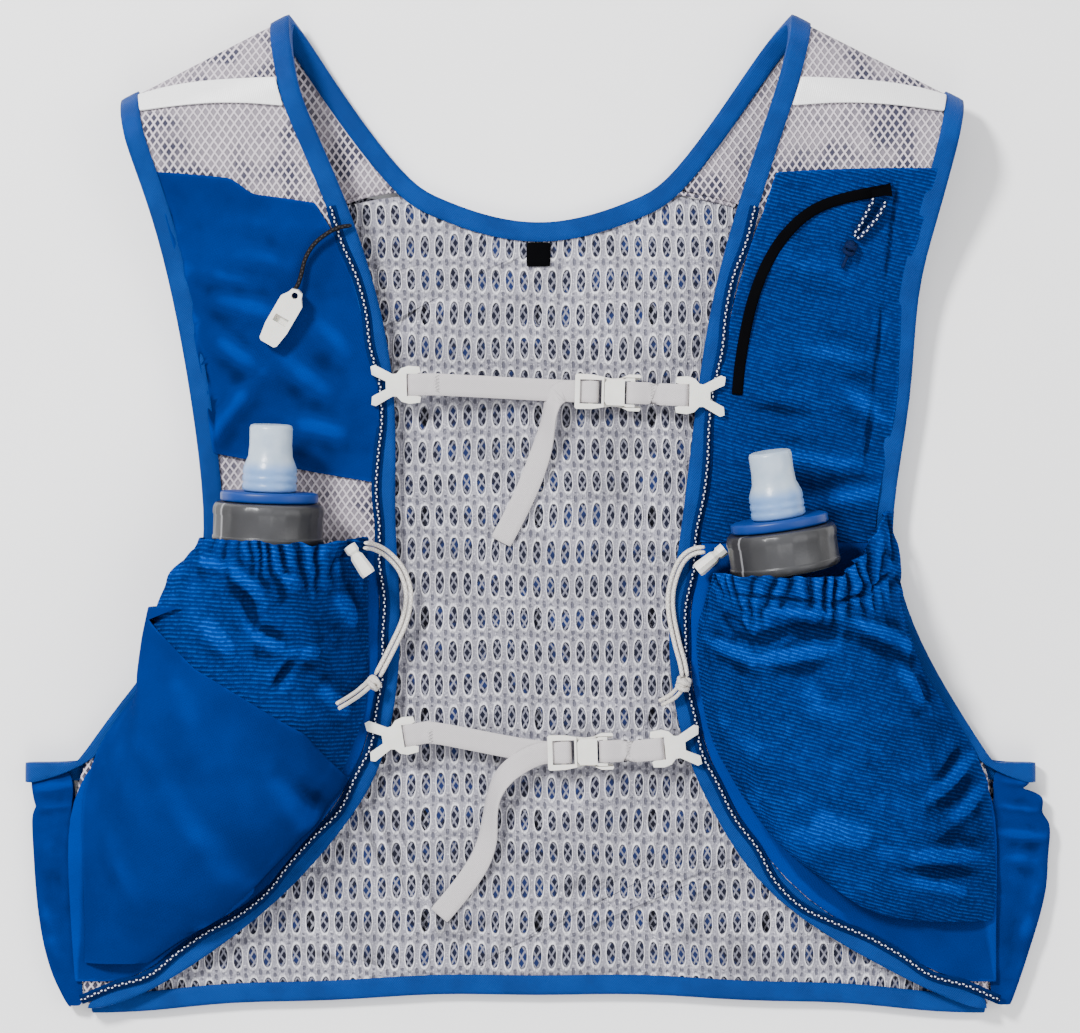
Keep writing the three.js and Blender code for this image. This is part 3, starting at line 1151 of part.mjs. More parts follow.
function makeChestStrap({ name, hookLeft, hookRight, buckle, tail }) {
  const leftFrame = addHook(`sternum_hook_${name}_left`, LEFT, hookLeft);
  const rightFrame = addHook(`sternum_hook_${name}_right`, RIGHT, hookRight);
  const buckleFrame = new THREE.Matrix4().makeRotationZ(buckle.heading).setPosition(buckle.x, buckle.y, buckle.z);
  addPiece(`buckle_frame_${name}`, buckleFrameGeometry(), FINISH.whitePlastic, buckleFrame);
  addPiece(`buckle_tongue_${name}`, buckleTongueGeometry(), FINISH.whitePlastic, buckleFrame);

  const longPlaces = [
    ...localPlaces(leftFrame, HOOK_LOOP, 1),
    ...localPlaces(buckleFrame, LADDER_LOOP, -1),
    ...tailPlaces(tail),
  ];
  addPiece(`sternum_webbing_${name}`, webbingGeometry(longPlaces), FINISH.webbing);

  const shortPlaces = [
    ...localPlaces(buckleFrame, TONGUE_LOOP, 1),
    ...localPlaces(rightFrame, HOOK_LOOP.slice(2).reverse(), -1),
  ];
  addPiece(`sternum_webbing_short_${name}`, webbingGeometry(shortPlaces), FINISH.webbing);
}

// Two strands side by side from the cord lock to the knot, with two short tails
function makeDrawcord(side, route, tail) {
  const points = route.map((p) => vector(...p));
  const spacing = (DRAWCORD + GAP) / 2;
  const beside = (list, way) => list.map((p, i) => {
    const along = list[Math.min(i + 1, list.length - 1)].clone().sub(list[Math.max(i - 1, 0)]);
    const across = vector(along.y, -along.x, 0).normalize();
    return p.clone().addScaledVector(across, way * spacing);
  });
  for (const [name, way] of [['a', 1], ['b', -1]]) {
    addPiece(`drawcord_${side.name}_${name}`, cordTube(beside(points, way), DRAWCORD, 8), FINISH.paleCord);
  }
  const end = points[points.length - 1];
  const along = vector(...tail[0]).sub(end).normalize();
  const middle = end.clone().addScaledVector(along, KNOT_DIAMETER / 2 + GAP);
  const knot = new THREE.SphereGeometry(KNOT_DIAMETER / 2, 7, 4).translate(...middle.toArray());
  const tails = [middle, ...tail.map((p) => vector(...p))];
  const strands = [1, -1].map((way) => cordTube(beside(tails, way), DRAWCORD, 2));
  addPiece(`drawcord_knot_${side.name}`, join(knot, ...strands), FINISH.paleCord);

  const radius = LOCK_DIAMETER / 2;
  const barrel = new THREE.LatheGeometry([
    [0, -LOCK_LENGTH * 0.7], [radius * 0.9, -LOCK_LENGTH * 0.7], [radius, -LOCK_LENGTH * 0.6],
    [radius * 0.86, -LOCK_LENGTH * 0.1], [radius * 0.6, 0], [radius * 0.85, LOCK_LENGTH * 0.08],
    [radius * 0.85, LOCK_LENGTH * 0.28], [0, LOCK_LENGTH * 0.3],
  ].map(([r, h]) => new THREE.Vector2(r, h)), 9);
  const { x, y, z, turn } = side.lock;
  const place = new THREE.Matrix4().makeRotationZ(turn).setPosition(x, y, z);
  addPiece(`cord_lock_${side.name}`, barrel, FINISH.whitePlastic, place);
}

function makeWhistle() {
  const [top, end] = [vector(-108.4, 104, 0), vector(-122.4, 80, 0)];
  const heading = Math.atan2(end.y - top.y, end.x - top.x);
  const [length, width] = [WHISTLE_LENGTH, WHISTLE_WIDTH];
  const eye = Array.from({ length: 8 }, (_, k) => {
    const angle = (k / 8) * 2 * Math.PI;
    return [3 + 1.6 * Math.cos(angle), 1.6 * Math.sin(angle)];
  });
  const body = extrude([
    [0.8, -2.6], [3, -3.4], [6, -width / 2], [length - 8, -width / 2], [length - 1, -width * 0.4],
    [length, -width * 0.3], [length, width * 0.3], [length - 1, width * 0.4], [length - 8, width / 2],
    [6, width / 2], [3, 3.4], [0.8, 2.6], [0, 0],
  ], 0, WHISTLE_THICKNESS, [eye]);
  const window = boxBetween([length * 0.5, -width * 0.3, WHISTLE_THICKNESS * 0.55],
    [length * 0.62, width * 0.3, WHISTLE_THICKNESS + 1]);
  const place = { x: (top.x + end.x) / 2, y: (top.y + end.y) / 2 };
  const offset = chestOffset(LEFT, place.x, place.y);
  const frame = panelFrame(LEFT, place.x, place.y, heading, offset)
    .multiply(new THREE.Matrix4().makeTranslation(-length / 2, 0, 0));
  addPiece('whistle', cut(body, window), FINISH.whitePlastic, frame);
  addPiece('whistle_cord', cordTube(WHISTLE_CORD_ROUTE, WHISTLE_CORD, 8), FINISH.darkCord);
}

makeBack();
makeNeckBinding();
makeHemBinding();
for (const side of SIDES) {
  makeSide(side);
  makeStrap(side);
  makeChestPocket(side);
  makeBottlePocket(side);
  makeFlask(side);
  makeEdgeCord(side);
}
makeOverlay();
makeZip();
for (const strap of STRAPS) makeChestStrap(strap);
makeDrawcord(LEFT, DRAWCORD_ROUTE_LEFT, DRAWCORD_TAIL_LEFT);
makeDrawcord(RIGHT, DRAWCORD_ROUTE_RIGHT, DRAWCORD_TAIL_RIGHT);
makeWhistle();

export default vest;
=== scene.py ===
# Running hydration vest, lying on its back and seen from straight above.
# Metres; +Y towards the shoulders, +Z up. Left and right are as seen from above.
import json
import math
from functools import partialmethod, reduce

import bmesh
import bpy
import numpy as np
from mathutils import Matrix, Vector, noise
from mathutils.bvhtree import BVHTree


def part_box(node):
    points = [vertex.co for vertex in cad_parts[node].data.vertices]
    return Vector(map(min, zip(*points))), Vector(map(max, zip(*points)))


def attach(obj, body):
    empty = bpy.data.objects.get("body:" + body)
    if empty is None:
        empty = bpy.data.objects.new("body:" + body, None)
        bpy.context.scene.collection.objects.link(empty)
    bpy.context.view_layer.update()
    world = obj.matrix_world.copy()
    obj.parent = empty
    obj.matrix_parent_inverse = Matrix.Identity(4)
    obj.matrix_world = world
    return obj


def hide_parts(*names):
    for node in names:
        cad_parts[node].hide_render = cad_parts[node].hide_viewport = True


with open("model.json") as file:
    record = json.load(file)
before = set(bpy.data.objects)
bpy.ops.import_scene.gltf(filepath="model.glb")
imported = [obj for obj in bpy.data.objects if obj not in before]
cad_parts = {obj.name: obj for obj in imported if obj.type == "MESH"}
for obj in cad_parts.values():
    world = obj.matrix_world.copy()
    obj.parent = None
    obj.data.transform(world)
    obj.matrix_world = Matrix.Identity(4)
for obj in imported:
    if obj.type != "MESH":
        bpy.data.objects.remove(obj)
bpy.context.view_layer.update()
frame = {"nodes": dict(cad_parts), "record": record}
nodes = frame["nodes"]
SIDES = ("left", "right")
MM = 0.001


def mm(x, y, z=0):
    return Vector((x, y, z)) * MM


# ---- camera and light
PHOTO_WIDTH = 1080
PIXELS_PER_MM = 2.2
CAMERA_HEIGHT = 1.9
CAMERA_SHIFT = (0.7, 0.2)
FOCUS_LEVEL = 0.014
SENSOR_WIDTH = 36
# name, place, diameter and power
LIGHTS = (
    ("key_light", (-0.9, 0.9, 1.5), 0.35, 66),
    ("fill_light", (1.2, 0.1, 1.3), 1.2, 10),
    ("front_light", (0.1, -1.3, 1.4), 1.1, 12),
)
SKY_STRENGTH = 0.95
FLOOR_HALF = 2.5


def add_camera():
    data = bpy.data.cameras.new("camera")
    data.sensor_fit = "HORIZONTAL"
    data.sensor_width = SENSOR_WIDTH
    seen_width = PHOTO_WIDTH / PIXELS_PER_MM * MM
    data.lens = SENSOR_WIDTH * CAMERA_HEIGHT / seen_width
    camera = bpy.data.objects.new("camera", data)
    camera.location = mm(*CAMERA_SHIFT) + Vector((0, 0, CAMERA_HEIGHT + FOCUS_LEVEL))
    bpy.context.collection.objects.link(camera)
    bpy.context.scene.camera = camera


def add_light(name, place, size, power):
    data = bpy.data.lights.new(name, "AREA")
    data.shape = "DISK"
    data.size = size
    data.energy = power
    light = bpy.data.objects.new(name, data)
    light.location = place
    light.rotation_euler = (-Vector(place)).to_track_quat("-Z", "Y").to_euler()
    bpy.context.collection.objects.link(light)


def add_studio():
    for row in LIGHTS:
        add_light(*row)
    world = bpy.data.worlds.new("studio")
    world.use_nodes = True
    background = world.node_tree.nodes["Background"]
    background.inputs["Color"].default_value = (1, 1, 1, 1)
    background.inputs["Strength"].default_value = SKY_STRENGTH
    bpy.context.scene.world = world

    floor_mesh = bmesh.new()
    bmesh.ops.create_grid(floor_mesh, x_segments=1, y_segments=1, size=FLOOR_HALF)
    floor = new_object("floor", floor_mesh, floor_paper())


# ---- shader helpers
class Finish:
    """A Principled material with a few short ways to build a pattern."""

    def __init__(self, name, colour, roughness, specular=0.5, **sockets):
        self.material = bpy.data.materials.new(name)
        self.material.use_nodes = True
        self.tree = self.material.node_tree
        self.shader = self.tree.nodes["Principled BSDF"]
        self.shader.inputs["Base Color"].default_value = (*colour, 1)
        self.shader.inputs["Roughness"].default_value = roughness
        self.shader.inputs["Specular IOR Level"].default_value = specular
        for socket, value in sockets.items():
            self.shader.inputs[socket.replace("_", " ")].default_value = value

    def add(self, kind):
        return self.tree.nodes.new(f"ShaderNode{kind}")

    def put(self, socket, value):
        if isinstance(value, bpy.types.NodeSocket):
            self.tree.links.new(value, socket)
        else:
            socket.default_value = value

    def calculate(self, operation, a, b=0.0, c=0.0):
        node = self.add("Math")
        node.operation = operation
        for socket, value in zip(node.inputs, (a, b, c)):
            self.put(socket, value)
        return node.outputs[0]

    times = partialmethod(calculate, "MULTIPLY")
    plus = partialmethod(calculate, "ADD")
    minus = partialmethod(calculate, "SUBTRACT")
    over = partialmethod(calculate, "DIVIDE")
    power = partialmethod(calculate, "POWER")
    larger = partialmethod(calculate, "MAXIMUM")
    away = partialmethod(calculate, "ABSOLUTE")

    def inverse(self, value):
        return self.minus(1, value)

    def place(self, turn=0.0):
        """X and Y of the piece's own places, in millimetres, turned about Z."""
        source = self.add("TexCoord")
        mapping = self.add("Mapping")
        mapping.inputs["Rotation"].default_value = (0, 0, turn)
        mapping.inputs["Scale"].default_value = (1 / MM, 1 / MM, 1 / MM)
        self.put(mapping.inputs["Vector"], source.outputs["Object"])
        self.vector = mapping.outputs["Vector"]
        parts = self.add("SeparateXYZ")
        self.put(parts.inputs[0], self.vector)
        return parts.outputs[0], parts.outputs[1]

    def attribute(self, name):
        node = self.add("Attribute")
        node.attribute_name = name
        return node.outputs["Fac"]

    def noise(self, scale, detail=3.0):
        node = self.add("TexNoise")
        node.inputs["Scale"].default_value = scale
        node.inputs["Detail"].default_value = detail
        self.put(node.inputs["Vector"], self.vector)
        return node.outputs["Fac"]

    def drift(self, scale, detail, width):
        """A slow random shift of up to half the width either way."""
        return self.times(self.minus(self.noise(scale, detail), 0.5), width)

    def cells(self, value, pitch):
        """Distance in millimetres from the middle of the nearest cell."""
        share = self.calculate("FRACT", self.over(value, pitch))
        return self.times(self.minus(share, 0.5), pitch)

    def centred(self, value, pitch):
        """The same, with a cell's middle on zero."""
        return self.cells(self.plus(value, pitch / 2), pitch)

    def step(self, value, low, high):
        """0 below low, 1 above high, smooth between."""
        node = self.add("MapRange")
        node.interpolation_type = "SMOOTHSTEP"
        self.put(node.inputs["Value"], value)
        node.inputs["From Min"].default_value = low
        node.inputs["From Max"].default_value = high
        return node.outputs[0]

    def wave(self, value, pitch):
        """0 to 1 and back once in each pitch."""
        turn = self.times(value, 2 * math.pi / pitch)
        return self.calculate("MULTIPLY_ADD", self.calculate("SINE", turn), 0.5, 0.5)

    def mix(self, factor, first, second):
        node = self.add("Mix")
        node.data_type = "RGBA"
        self.put(node.inputs["Factor"], factor)
        for socket, value in ((node.inputs[6], first), (node.inputs[7], second)):
            self.put(socket, value if isinstance(value, bpy.types.NodeSocket) else (*value, 1))
        return node.outputs[2]

    def colour(self, value):
        self.put(self.shader.inputs["Base Color"], value)

    def bump(self, height, distance):
        node = self.add("Bump")
        node.inputs["Distance"].default_value = distance * MM
        self.put(node.inputs["Height"], height)
        self.put(self.shader.inputs["Normal"], node.outputs["Normal"])

    def paint_fold_shade_and_light(self, colour, dark, light):
        """Paints shade into a cloth's valleys and paints light on its crests, darkening and lightening its
        colour by mark_crests.
        """
        crest = self.attribute("crest")
        shade = self.add("Mix")
        shade.data_type = "RGBA"
        shade.blend_type = "MULTIPLY"
        shade.inputs["Factor"].default_value = 1
        self.put(shade.inputs[6], colour)
        low = self.step(crest, -0.55, 0)
        high = self.step(crest, 0, 0.7)
        lit = self.times(high, light - 1)
        level = self.plus(self.calculate("MULTIPLY_ADD", low, 1 - dark, dark), lit)
        self.put(shade.inputs[7], level)
        return shade.outputs[2]

    def shades(self, colour, amount, scale=0.05):
        """Slow light and dark patches of one colour."""
        dark = tuple(c * (1 - amount) for c in colour)
        light = tuple(c * (1 + amount) for c in colour)
        return self.mix(self.step(self.noise(scale), 0.3, 0.7), dark, light)


# ---- finishes
CLOTH_BLUE = (0.0, 0.0145, 0.11)
RIB_DARK = (0.0, 0.009, 0.075)
RIB_CREST = (0.0, 0.042, 0.24)
RIB_YARN = (0.004, 0.06, 0.28)
TAPE_BLUE = (0.0, 0.029, 0.165)
TAPE_LIGHT = (0.002, 0.06, 0.26)
CORD_NAVY = (0.0, 0.006, 0.045)
MESH_GREY = (0.22, 0.215, 0.255)
MESH_PALE = (0.62, 0.61, 0.66)
MESH_SHADE = (0.06, 0.06, 0.085)
# painted shade seen through the spacer mesh's holes
HOLE_SHADE = (0.003, 0.004, 0.014)
NET_GREY = (0.5, 0.45, 0.5)
NET_DARK = (0.035, 0.035, 0.06)
CREAM = (0.74, 0.71, 0.66)
HOLE_PITCH_ACROSS = 6.5
HOLE_PITCH_ALONG = 15.4
HOLE_HALF_WIDE = 1.95
HOLE_HALF_LONG = 5.2
OVAL_POWER = 2.2
KNIT_PITCH = 0.9
RIB_PITCH = {"left": 1.9, "right": 1.65}


def floor_paper():
    finish = Finish("floor_paper", (0.9, 0.9, 0.9), 0.9)
    finish.place()
    finish.colour(finish.shades((0.9, 0.9, 0.905), 0.01, 0.01))
    return finish.material


def lattice(finish, x, y, wide, slope=0.62, thread=0.62):
    """1 on two crossed sets of threads, 0 between them."""
    lines = []
    for way in (1, -1):
        along = finish.plus(finish.times(x, way), finish.times(y, slope))
        off = finish.away(finish.cells(along, wide))
        lines.append(finish.inverse(finish.step(off, thread * 0.5, thread)))
    return reduce(finish.larger, lines)


def deep_threads(finish, x, y):
    """The crossed threads seen inside the holes of the spacer mesh."""
    return lattice(finish, finish.plus(x, finish.times(y, 0.04)), y, 3.35)


def spacer_mesh():
    """Knitted spacer mesh: rows of long ovals over crossed threads, short slits between rows, with painted
    shade in the ovals and the slits.
    """
    finish = Finish("spacer_mesh", MESH_GREY, 0.8, specular=0.2)
    x, y = finish.place()
    sway = finish.drift(0.016, 1, 5)
    x = finish.plus(x, sway)
    y = finish.plus(y, finish.times(sway, 1.6))
    cell_x = finish.centred(x, HOLE_PITCH_ACROSS)
    cell_y = finish.centred(y, HOLE_PITCH_ALONG)
    wobble = finish.drift(0.7, 2, 0.35)
    across, along = (finish.power(finish.away(finish.over(cell, half)), OVAL_POWER)
                     for cell, half in ((cell_x, HOLE_HALF_WIDE), (cell_y, HOLE_HALF_LONG)))
    ring = finish.plus(finish.plus(across, along), wobble)
    inside = finish.inverse(finish.step(ring, 0.72, 1.02))
    rim = finish.times(finish.step(ring, 0.8, 1.1), finish.inverse(finish.step(ring, 1.25, 2.1)))
    threads = deep_threads(finish, x, y)
    # painted shade at the bottom of the ovals, under the crossed threads
    painted_hole_shade = finish.mix(finish.step(finish.noise(0.12, 2), 0.5, 0.62), HOLE_SHADE, (0.004, 0.012, 0.06))
    thread_shade = finish.mix(finish.noise(0.5, 2), (0.05, 0.05, 0.07), (0.3, 0.3, 0.36))
    hole = finish.mix(finish.times(threads, 0.85), painted_hole_shade, thread_shade)
    slit_x = finish.away(finish.centred(x, HOLE_PITCH_ACROSS / 2))
    slit_y = finish.away(finish.centred(finish.plus(y, finish.times(x, 0.35)), 4.2))
    slit_ring = finish.plus(finish.power(finish.over(slit_x, 0.8), 2),
                            finish.power(finish.over(slit_y, 1.8), 2))
    slit = finish.inverse(finish.step(slit_ring, 0.3, 1.3))
    between = finish.step(finish.away(cell_y), 5.0, 5.7)
    slit = finish.times(finish.times(slit, between), finish.step(finish.noise(0.4, 2), 0.2, 0.45))
    ground = finish.shades(MESH_GREY, 0.12, 0.03)
    knit = finish.wave(x, KNIT_PITCH)
    ground = finish.mix(finish.times(knit, 0.2), ground, MESH_SHADE)
    ground = finish.mix(finish.step(finish.noise(1.1, 3), 0.5, 0.85), ground, MESH_PALE)
    ground = finish.mix(finish.times(slit, 0.85), ground, MESH_SHADE)
    ground = finish.mix(finish.times(rim, 0.9), ground, MESH_PALE)
    # painted shade in the mesh's folds and painted light on their crests
    finish.colour(finish.paint_fold_shade_and_light(finish.mix(inside, ground, hole), 0.6, 1.2))
    height = finish.minus(finish.plus(1, finish.times(rim, 0.35)),
                         finish.times(inside, 0.9))
    height = finish.minus(height, finish.times(slit, 0.35))
    height = finish.plus(height, finish.times(knit, 0.06))
    finish.bump(height, 1.6)
    return finish.material


def net_mesh():
    """Fine diamond net with a pinkish cast and darker eyes."""
    finish = Finish("net_mesh", NET_GREY, 0.8, specular=0.2)
    x, y = finish.place()
    sway = finish.drift(0.03, 2, 4)
    x = finish.plus(x, sway)
    threads = lattice(finish, x, y, 3.7, 0.72, 0.8)
    eyes = finish.mix(finish.step(finish.noise(0.05, 3), 0.45, 0.62), (0.22, 0.195, 0.23), NET_DARK)
    ground = finish.shades(NET_GREY, 0.1, 0.04)
    finish.colour(finish.mix(threads, eyes, ground))
    finish.bump(finish.plus(threads, finish.times(finish.noise(1.4, 2), 0.25)), 0.7)
    return finish.material


def plain_cloth(name="plain_cloth", colour=CLOTH_BLUE):
    """Smooth stretch-woven cloth with a very fine weave and slow shading."""
    finish = Finish(name, colour, 0.7, specular=0.05, IOR=1.1)
    x, y = finish.place(0.3)
    weave = finish.times(finish.wave(x, 0.7), finish.wave(y, 0.7))
    cloth = finish.mix(finish.times(weave, 0.1), finish.shades(colour, 0.12, 0.035),
                       tuple(min(3.2 * c, 1) for c in colour))
    # painted shade in the cloth's folds and painted light on their crests
    finish.colour(finish.paint_fold_shade_and_light(cloth, 0.5, 1.7))
    finish.bump(finish.plus(weave, finish.times(finish.noise(0.35, 4), 0.7)), 0.16)
    return finish.material


def ribbed_cloth(name, turn, pitch):
    """Stretch cloth with fine ribs: paler on their crests, dark between them."""
    finish = Finish(name, RIB_DARK, 0.7, specular=0.05, IOR=1.08)
    x, y = finish.place(turn)
    sway = finish.drift(0.045, 2, 3.5)
    rib = finish.wave(finish.plus(y, sway), pitch)
    broken = finish.step(finish.noise(0.55, 4), 0.36, 0.6)
    crest = finish.times(finish.power(rib, 1.6), finish.calculate("MULTIPLY_ADD", broken, 0.8, 0.2))
    cloth = finish.shades(RIB_DARK, 0.15, 0.05)
    cloth = finish.mix(finish.times(crest, 0.85), cloth, RIB_CREST)
    yarn = finish.wave(finish.plus(x, finish.times(y, 0.5)), 0.8)
    # painted shade in the cloth's folds and painted light on their crests
    finish.colour(finish.paint_fold_shade_and_light(finish.mix(finish.times(yarn, 0.12), cloth, RIB_YARN), 0.38, 1.95))
    finish.bump(finish.plus(rib, finish.times(yarn, 0.25)), 0.42)
    return finish.material


def binding_tape():
    """Bright folded tape with a tight cross weave."""
    finish = Finish("binding_tape", TAPE_BLUE, 0.5, specular=0.08)
    x, y = finish.place(0.7)
    weave = finish.times(finish.wave(x, 0.8), finish.wave(y, 0.8))
    tape = finish.shades(TAPE_BLUE, 0.16, 0.06)
    finish.colour(finish.mix(finish.times(weave, 0.2), tape, TAPE_LIGHT))
    finish.bump(finish.plus(weave, finish.times(finish.noise(0.2, 3), 1.4)), 0.22)
    return finish.material


def lining_cloth():
    """The back's cloth: blue outside, and inside, on its upward faces, the painted shade and crossed threads
    that the mesh's holes show.
    """
    finish = Finish("lining_cloth", CLOTH_BLUE, 0.6, specular=0.2)
    x, y = finish.place()
    threads = deep_threads(finish, x, y)
    inside = finish.mix(finish.times(threads, 0.85), HOLE_SHADE, (0.34, 0.34, 0.4))
    facing = finish.add("NewGeometry")
    parts = finish.add("SeparateXYZ")
    finish.put(parts.inputs[0], facing.outputs["True Normal"])
    # upward faces take the painted hole shade
    up = finish.step(parts.outputs[2], 0.1, 0.3)
    finish.colour(finish.mix(up, finish.shades(CLOTH_BLUE, 0.12, 0.035), inside))
    finish.bump(finish.noise(1.2, 3), 0.12)
    return finish.material


def reflective_cloth():
    finish = Finish("reflective_cloth", (0.82, 0.82, 0.82), 0.32, specular=0.7)
    x, _ = finish.place(0.2)
    grain = finish.noise(2.2, 3)
    finish.colour(finish.mix(grain, (0.74, 0.74, 0.75), (0.9, 0.9, 0.9)))
    finish.bump(finish.plus(grain, finish.wave(x, 0.9)), 0.08)
    return finish.material


def braided(name, ground, fleck, turns, share):
    """Braided cord: two crossed spirals along the cord, with flecks of a second yarn."""
    finish = Finish(name, ground, 0.8, specular=0.15)
    along = finish.attribute("along")
    around = finish.attribute("around")
    strands = []
    for way in (1, -1):
        spiral = finish.plus(finish.times(along, turns), finish.times(around, way * 2))
        spiral = finish.calculate("FRACT", spiral)
        strands.append(finish.inverse(finish.away(finish.calculate("MULTIPLY_ADD", spiral, 2, -1))))
    strands = reduce(finish.larger, strands)
    flecks = []
    for shift, middle in ((0, 0.4), (0.5, 0.6)):
        place = finish.calculate("FRACT", finish.plus(finish.times(along, turns * 0.5), shift))
        off = finish.away(finish.minus(around, middle))
        in_dash = finish.calculate("LESS_THAN", place, share)
        flecks.append(finish.times(in_dash, finish.calculate("LESS_THAN", off, 0.1)))
    shade = finish.mix(strands, tuple(0.55 * c for c in ground), ground)
    finish.colour(finish.mix(reduce(finish.larger, flecks), shade, fleck))
    finish.bump(strands, 0.16)
    return finish.material


def moulded(name, colour, roughness, grain, **sockets):
    """Moulded plastic: a faint mottle and a fine satin grain."""
    finish = Finish(name, colour, roughness, **sockets)
    finish.place()
    mottle = finish.noise(0.25, 3)
    finish.colour(finish.mix(mottle, tuple(0.9 * c for c in colour), tuple(min(1.06 * c, 1) for c in colour)))
    finish.bump(finish.noise(3.0, 2), grain)
    return finish.material


def woven_webbing():
    """Flat woven webbing with a fine herringbone of pale yarns."""
    finish = Finish("woven_webbing", (0.52, 0.49, 0.5), 0.75, specular=0.2)
    x, y = finish.place(0.1)
    twill = finish.wave(finish.plus(x, y), 0.9)
    cross = finish.wave(finish.minus(x, y), 0.9)
    weave = finish.times(twill, cross)
    finish.colour(finish.mix(weave, (0.44, 0.415, 0.425), (0.6, 0.57, 0.58)))
    finish.bump(weave, 0.12)
    return finish.material


def smoked_plastic():
    """Smoky half-clear plastic: painted see-through light across its upper side, painted shade towards its
    sides where one looks through more of it, a mottle, and a thin painted highlight streak at one place round
    it.
    """
    finish = Finish("smoked_plastic", (0.05, 0.05, 0.055), 0.33, specular=0.35)
    finish.place()
    around = finish.attribute("around")
    # middle is painted see-through light across the upper side, fading to painted shade at the sides; the
    # streak is a painted highlight
    middle, painted_highlight_streak = (finish.inverse(finish.step(finish.away(finish.minus(around, turn)), low, high))
                      for turn, low, high in ((0.5, 0, 0.42), (0.8, 0.004, 0.012)))
    smoke_and_painted_light = finish.mix(middle, (0.008, 0.008, 0.009), (0.045, 0.046, 0.05))
    smoke_and_painted_light = finish.mix(finish.times(finish.noise(0.3, 3), 0.35), smoke_and_painted_light, (0.03, 0.028, 0.028))
    finish.colour(finish.mix(finish.times(painted_highlight_streak, 0.6), smoke_and_painted_light, (0.3, 0.3, 0.31)))
    finish.bump(finish.noise(0.8, 2), 0.05)
    return finish.material


def frosted_silicone():
    """Milky silicone with a bluish cast towards its skirt."""
    finish = Finish("frosted_silicone", (0.72, 0.8, 0.88), 0.3, Subsurface_Weight=0.25,
                    Transmission_Weight=0.15)
    finish.shader.inputs["Subsurface Radius"].default_value = (0.004, 0.005, 0.006)
    finish.place()
    down = finish.attribute("along")
    skirt = finish.inverse(finish.step(down, 0.3, 0.5))
    pale = finish.mix(finish.noise(0.15, 2), (0.3, 0.4, 0.53), (0.52, 0.61, 0.7))
    finish.colour(finish.mix(finish.times(skirt, 0.75), pale, (0.1, 0.26, 0.6)))
    finish.bump(finish.noise(0.9, 2), 0.08)
    return finish.material


FINISHES = {
    "lining_cloth": lining_cloth(),
    "spacer_mesh": spacer_mesh(),
    "net_mesh": net_mesh(),
    "plain_cloth": plain_cloth(),
    "ribbed_cloth": ribbed_cloth("ribbed_cloth", 0.04, RIB_PITCH["left"]),
    "blue_binding": binding_tape(),
    "reflective_tape": reflective_cloth(),
    "speckled_cord": braided("speckled_cord", CORD_NAVY, (0.7, 0.74, 0.84), 600, 0.24),
    "pale_cord": braided("pale_cord", (0.66, 0.62, 0.57), (0.8, 0.78, 0.74), 700, 0.3),
    "dark_cord": braided("dark_cord", (0.006, 0.005, 0.006), (0.03, 0.025, 0.028), 700, 0.3),
    "webbing": woven_webbing(),
    "white_plastic": moulded("white_plastic", CREAM, 0.38, 0.04, Subsurface_Weight=0.08),
    "smoked_plastic": smoked_plastic(),
    "blue_plastic": moulded("blue_plastic", (0.0, 0.03, 0.19), 0.4, 0.03, specular=0.3),
    "clear_rubber": frosted_silicone(),
    "flask_film": moulded("flask_film", (0.4, 0.48, 0.58), 0.25, 0.1),
    "black_tape": plain_cloth("black_tape", (0.002, 0.002, 0.0025)),
}
SLANTED_RIBS = ribbed_cloth("ribbed_cloth_slanted", 0.26, RIB_PITCH["right"])
PALE_THREAD = moulded("pale_thread", (0.62, 0.6, 0.6), 0.7, 0.02)
NAVY_STRIP = plain_cloth("navy_strip", (0.0, 0.011, 0.075))


# ---- mesh helpers
def new_object(name, bm, material):
    mesh = bpy.data.meshes.new(name)
    bm.to_mesh(mesh)
    bm.free()
    for polygon in mesh.polygons:
        polygon.use_smooth = True
    mesh.materials.append(material)
    piece = bpy.data.objects.new(name, mesh)
    bpy.context.collection.objects.link(piece)
    return piece


def add_piece(name, bm, slot, replaced=(), material=None):
    piece = new_object(name, bm, material or FINISHES[slot])
    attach(piece, "root")
    if replaced:
        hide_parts(*replaced)
    return piece


def add_cloth(node, bm, slot, ending="cloth", material=None):
    mark_crests(bm)
    add_piece(f"{node}_{ending}", bm, slot, [node], material)


# each sheet's cut: width, length, area, how it is held and what it rests on
SHEETS = {
    "strap_mesh_{}": (0.15, 0.53, 0.0495, "folded", ["back_mesh"]),
    "gusset_{}": (0.14, 0.2, 0.018, "laid", ["strap_mesh_{}"]),
    "side_panel_{}": (0.048, 0.112, 0.0044, "folded", ["back_mesh"]),
    "reflective_band_{}": (0.07, 0.0125, 0.00085, "stretched", ["strap_mesh_{}"]),
    "bottle_pocket_{}": (0.17, 0.195, 0.0258, "gathered", ["gusset_{}"]),
    "overlay_pocket_{}": (0.15, 0.165, 0.0173, "stretched", ["bottle_pocket_{}"]),
}
SHEETS = {name.format(side): (*row[:4], [node.format(side) for node in row[4]])
          for name, row in SHEETS.items() for side in SIDES}
SHEETS |= {
    "upper_pocket_left": (0.096, 0.14, 0.0095, "laid", ["strap_mesh_left"]),
    "upper_pocket_right": (0.1, 0.166, 0.0125, "laid", ["strap_mesh_right"]),
    "back_mesh": (0.422, 0.376, 0.1145, "laid", ["back_shell"]),
    "back_shell": (0.422, 0.37, 0.111, "laid", []),
}


# how crisp a rim stays, how often mark_crests smooths, and the least gap along Y between two rings
RIM_CREASE = 0.85
CREST_ROUNDS = 14
RING_GAP = 2
WELD = 1e-6
UP = Vector((0, 0, 1))


def ramp(value, start, span):
    """0 up to start, 1 from a span beyond it, straight between."""
    return min(max((value - start) / span, 0), 1)


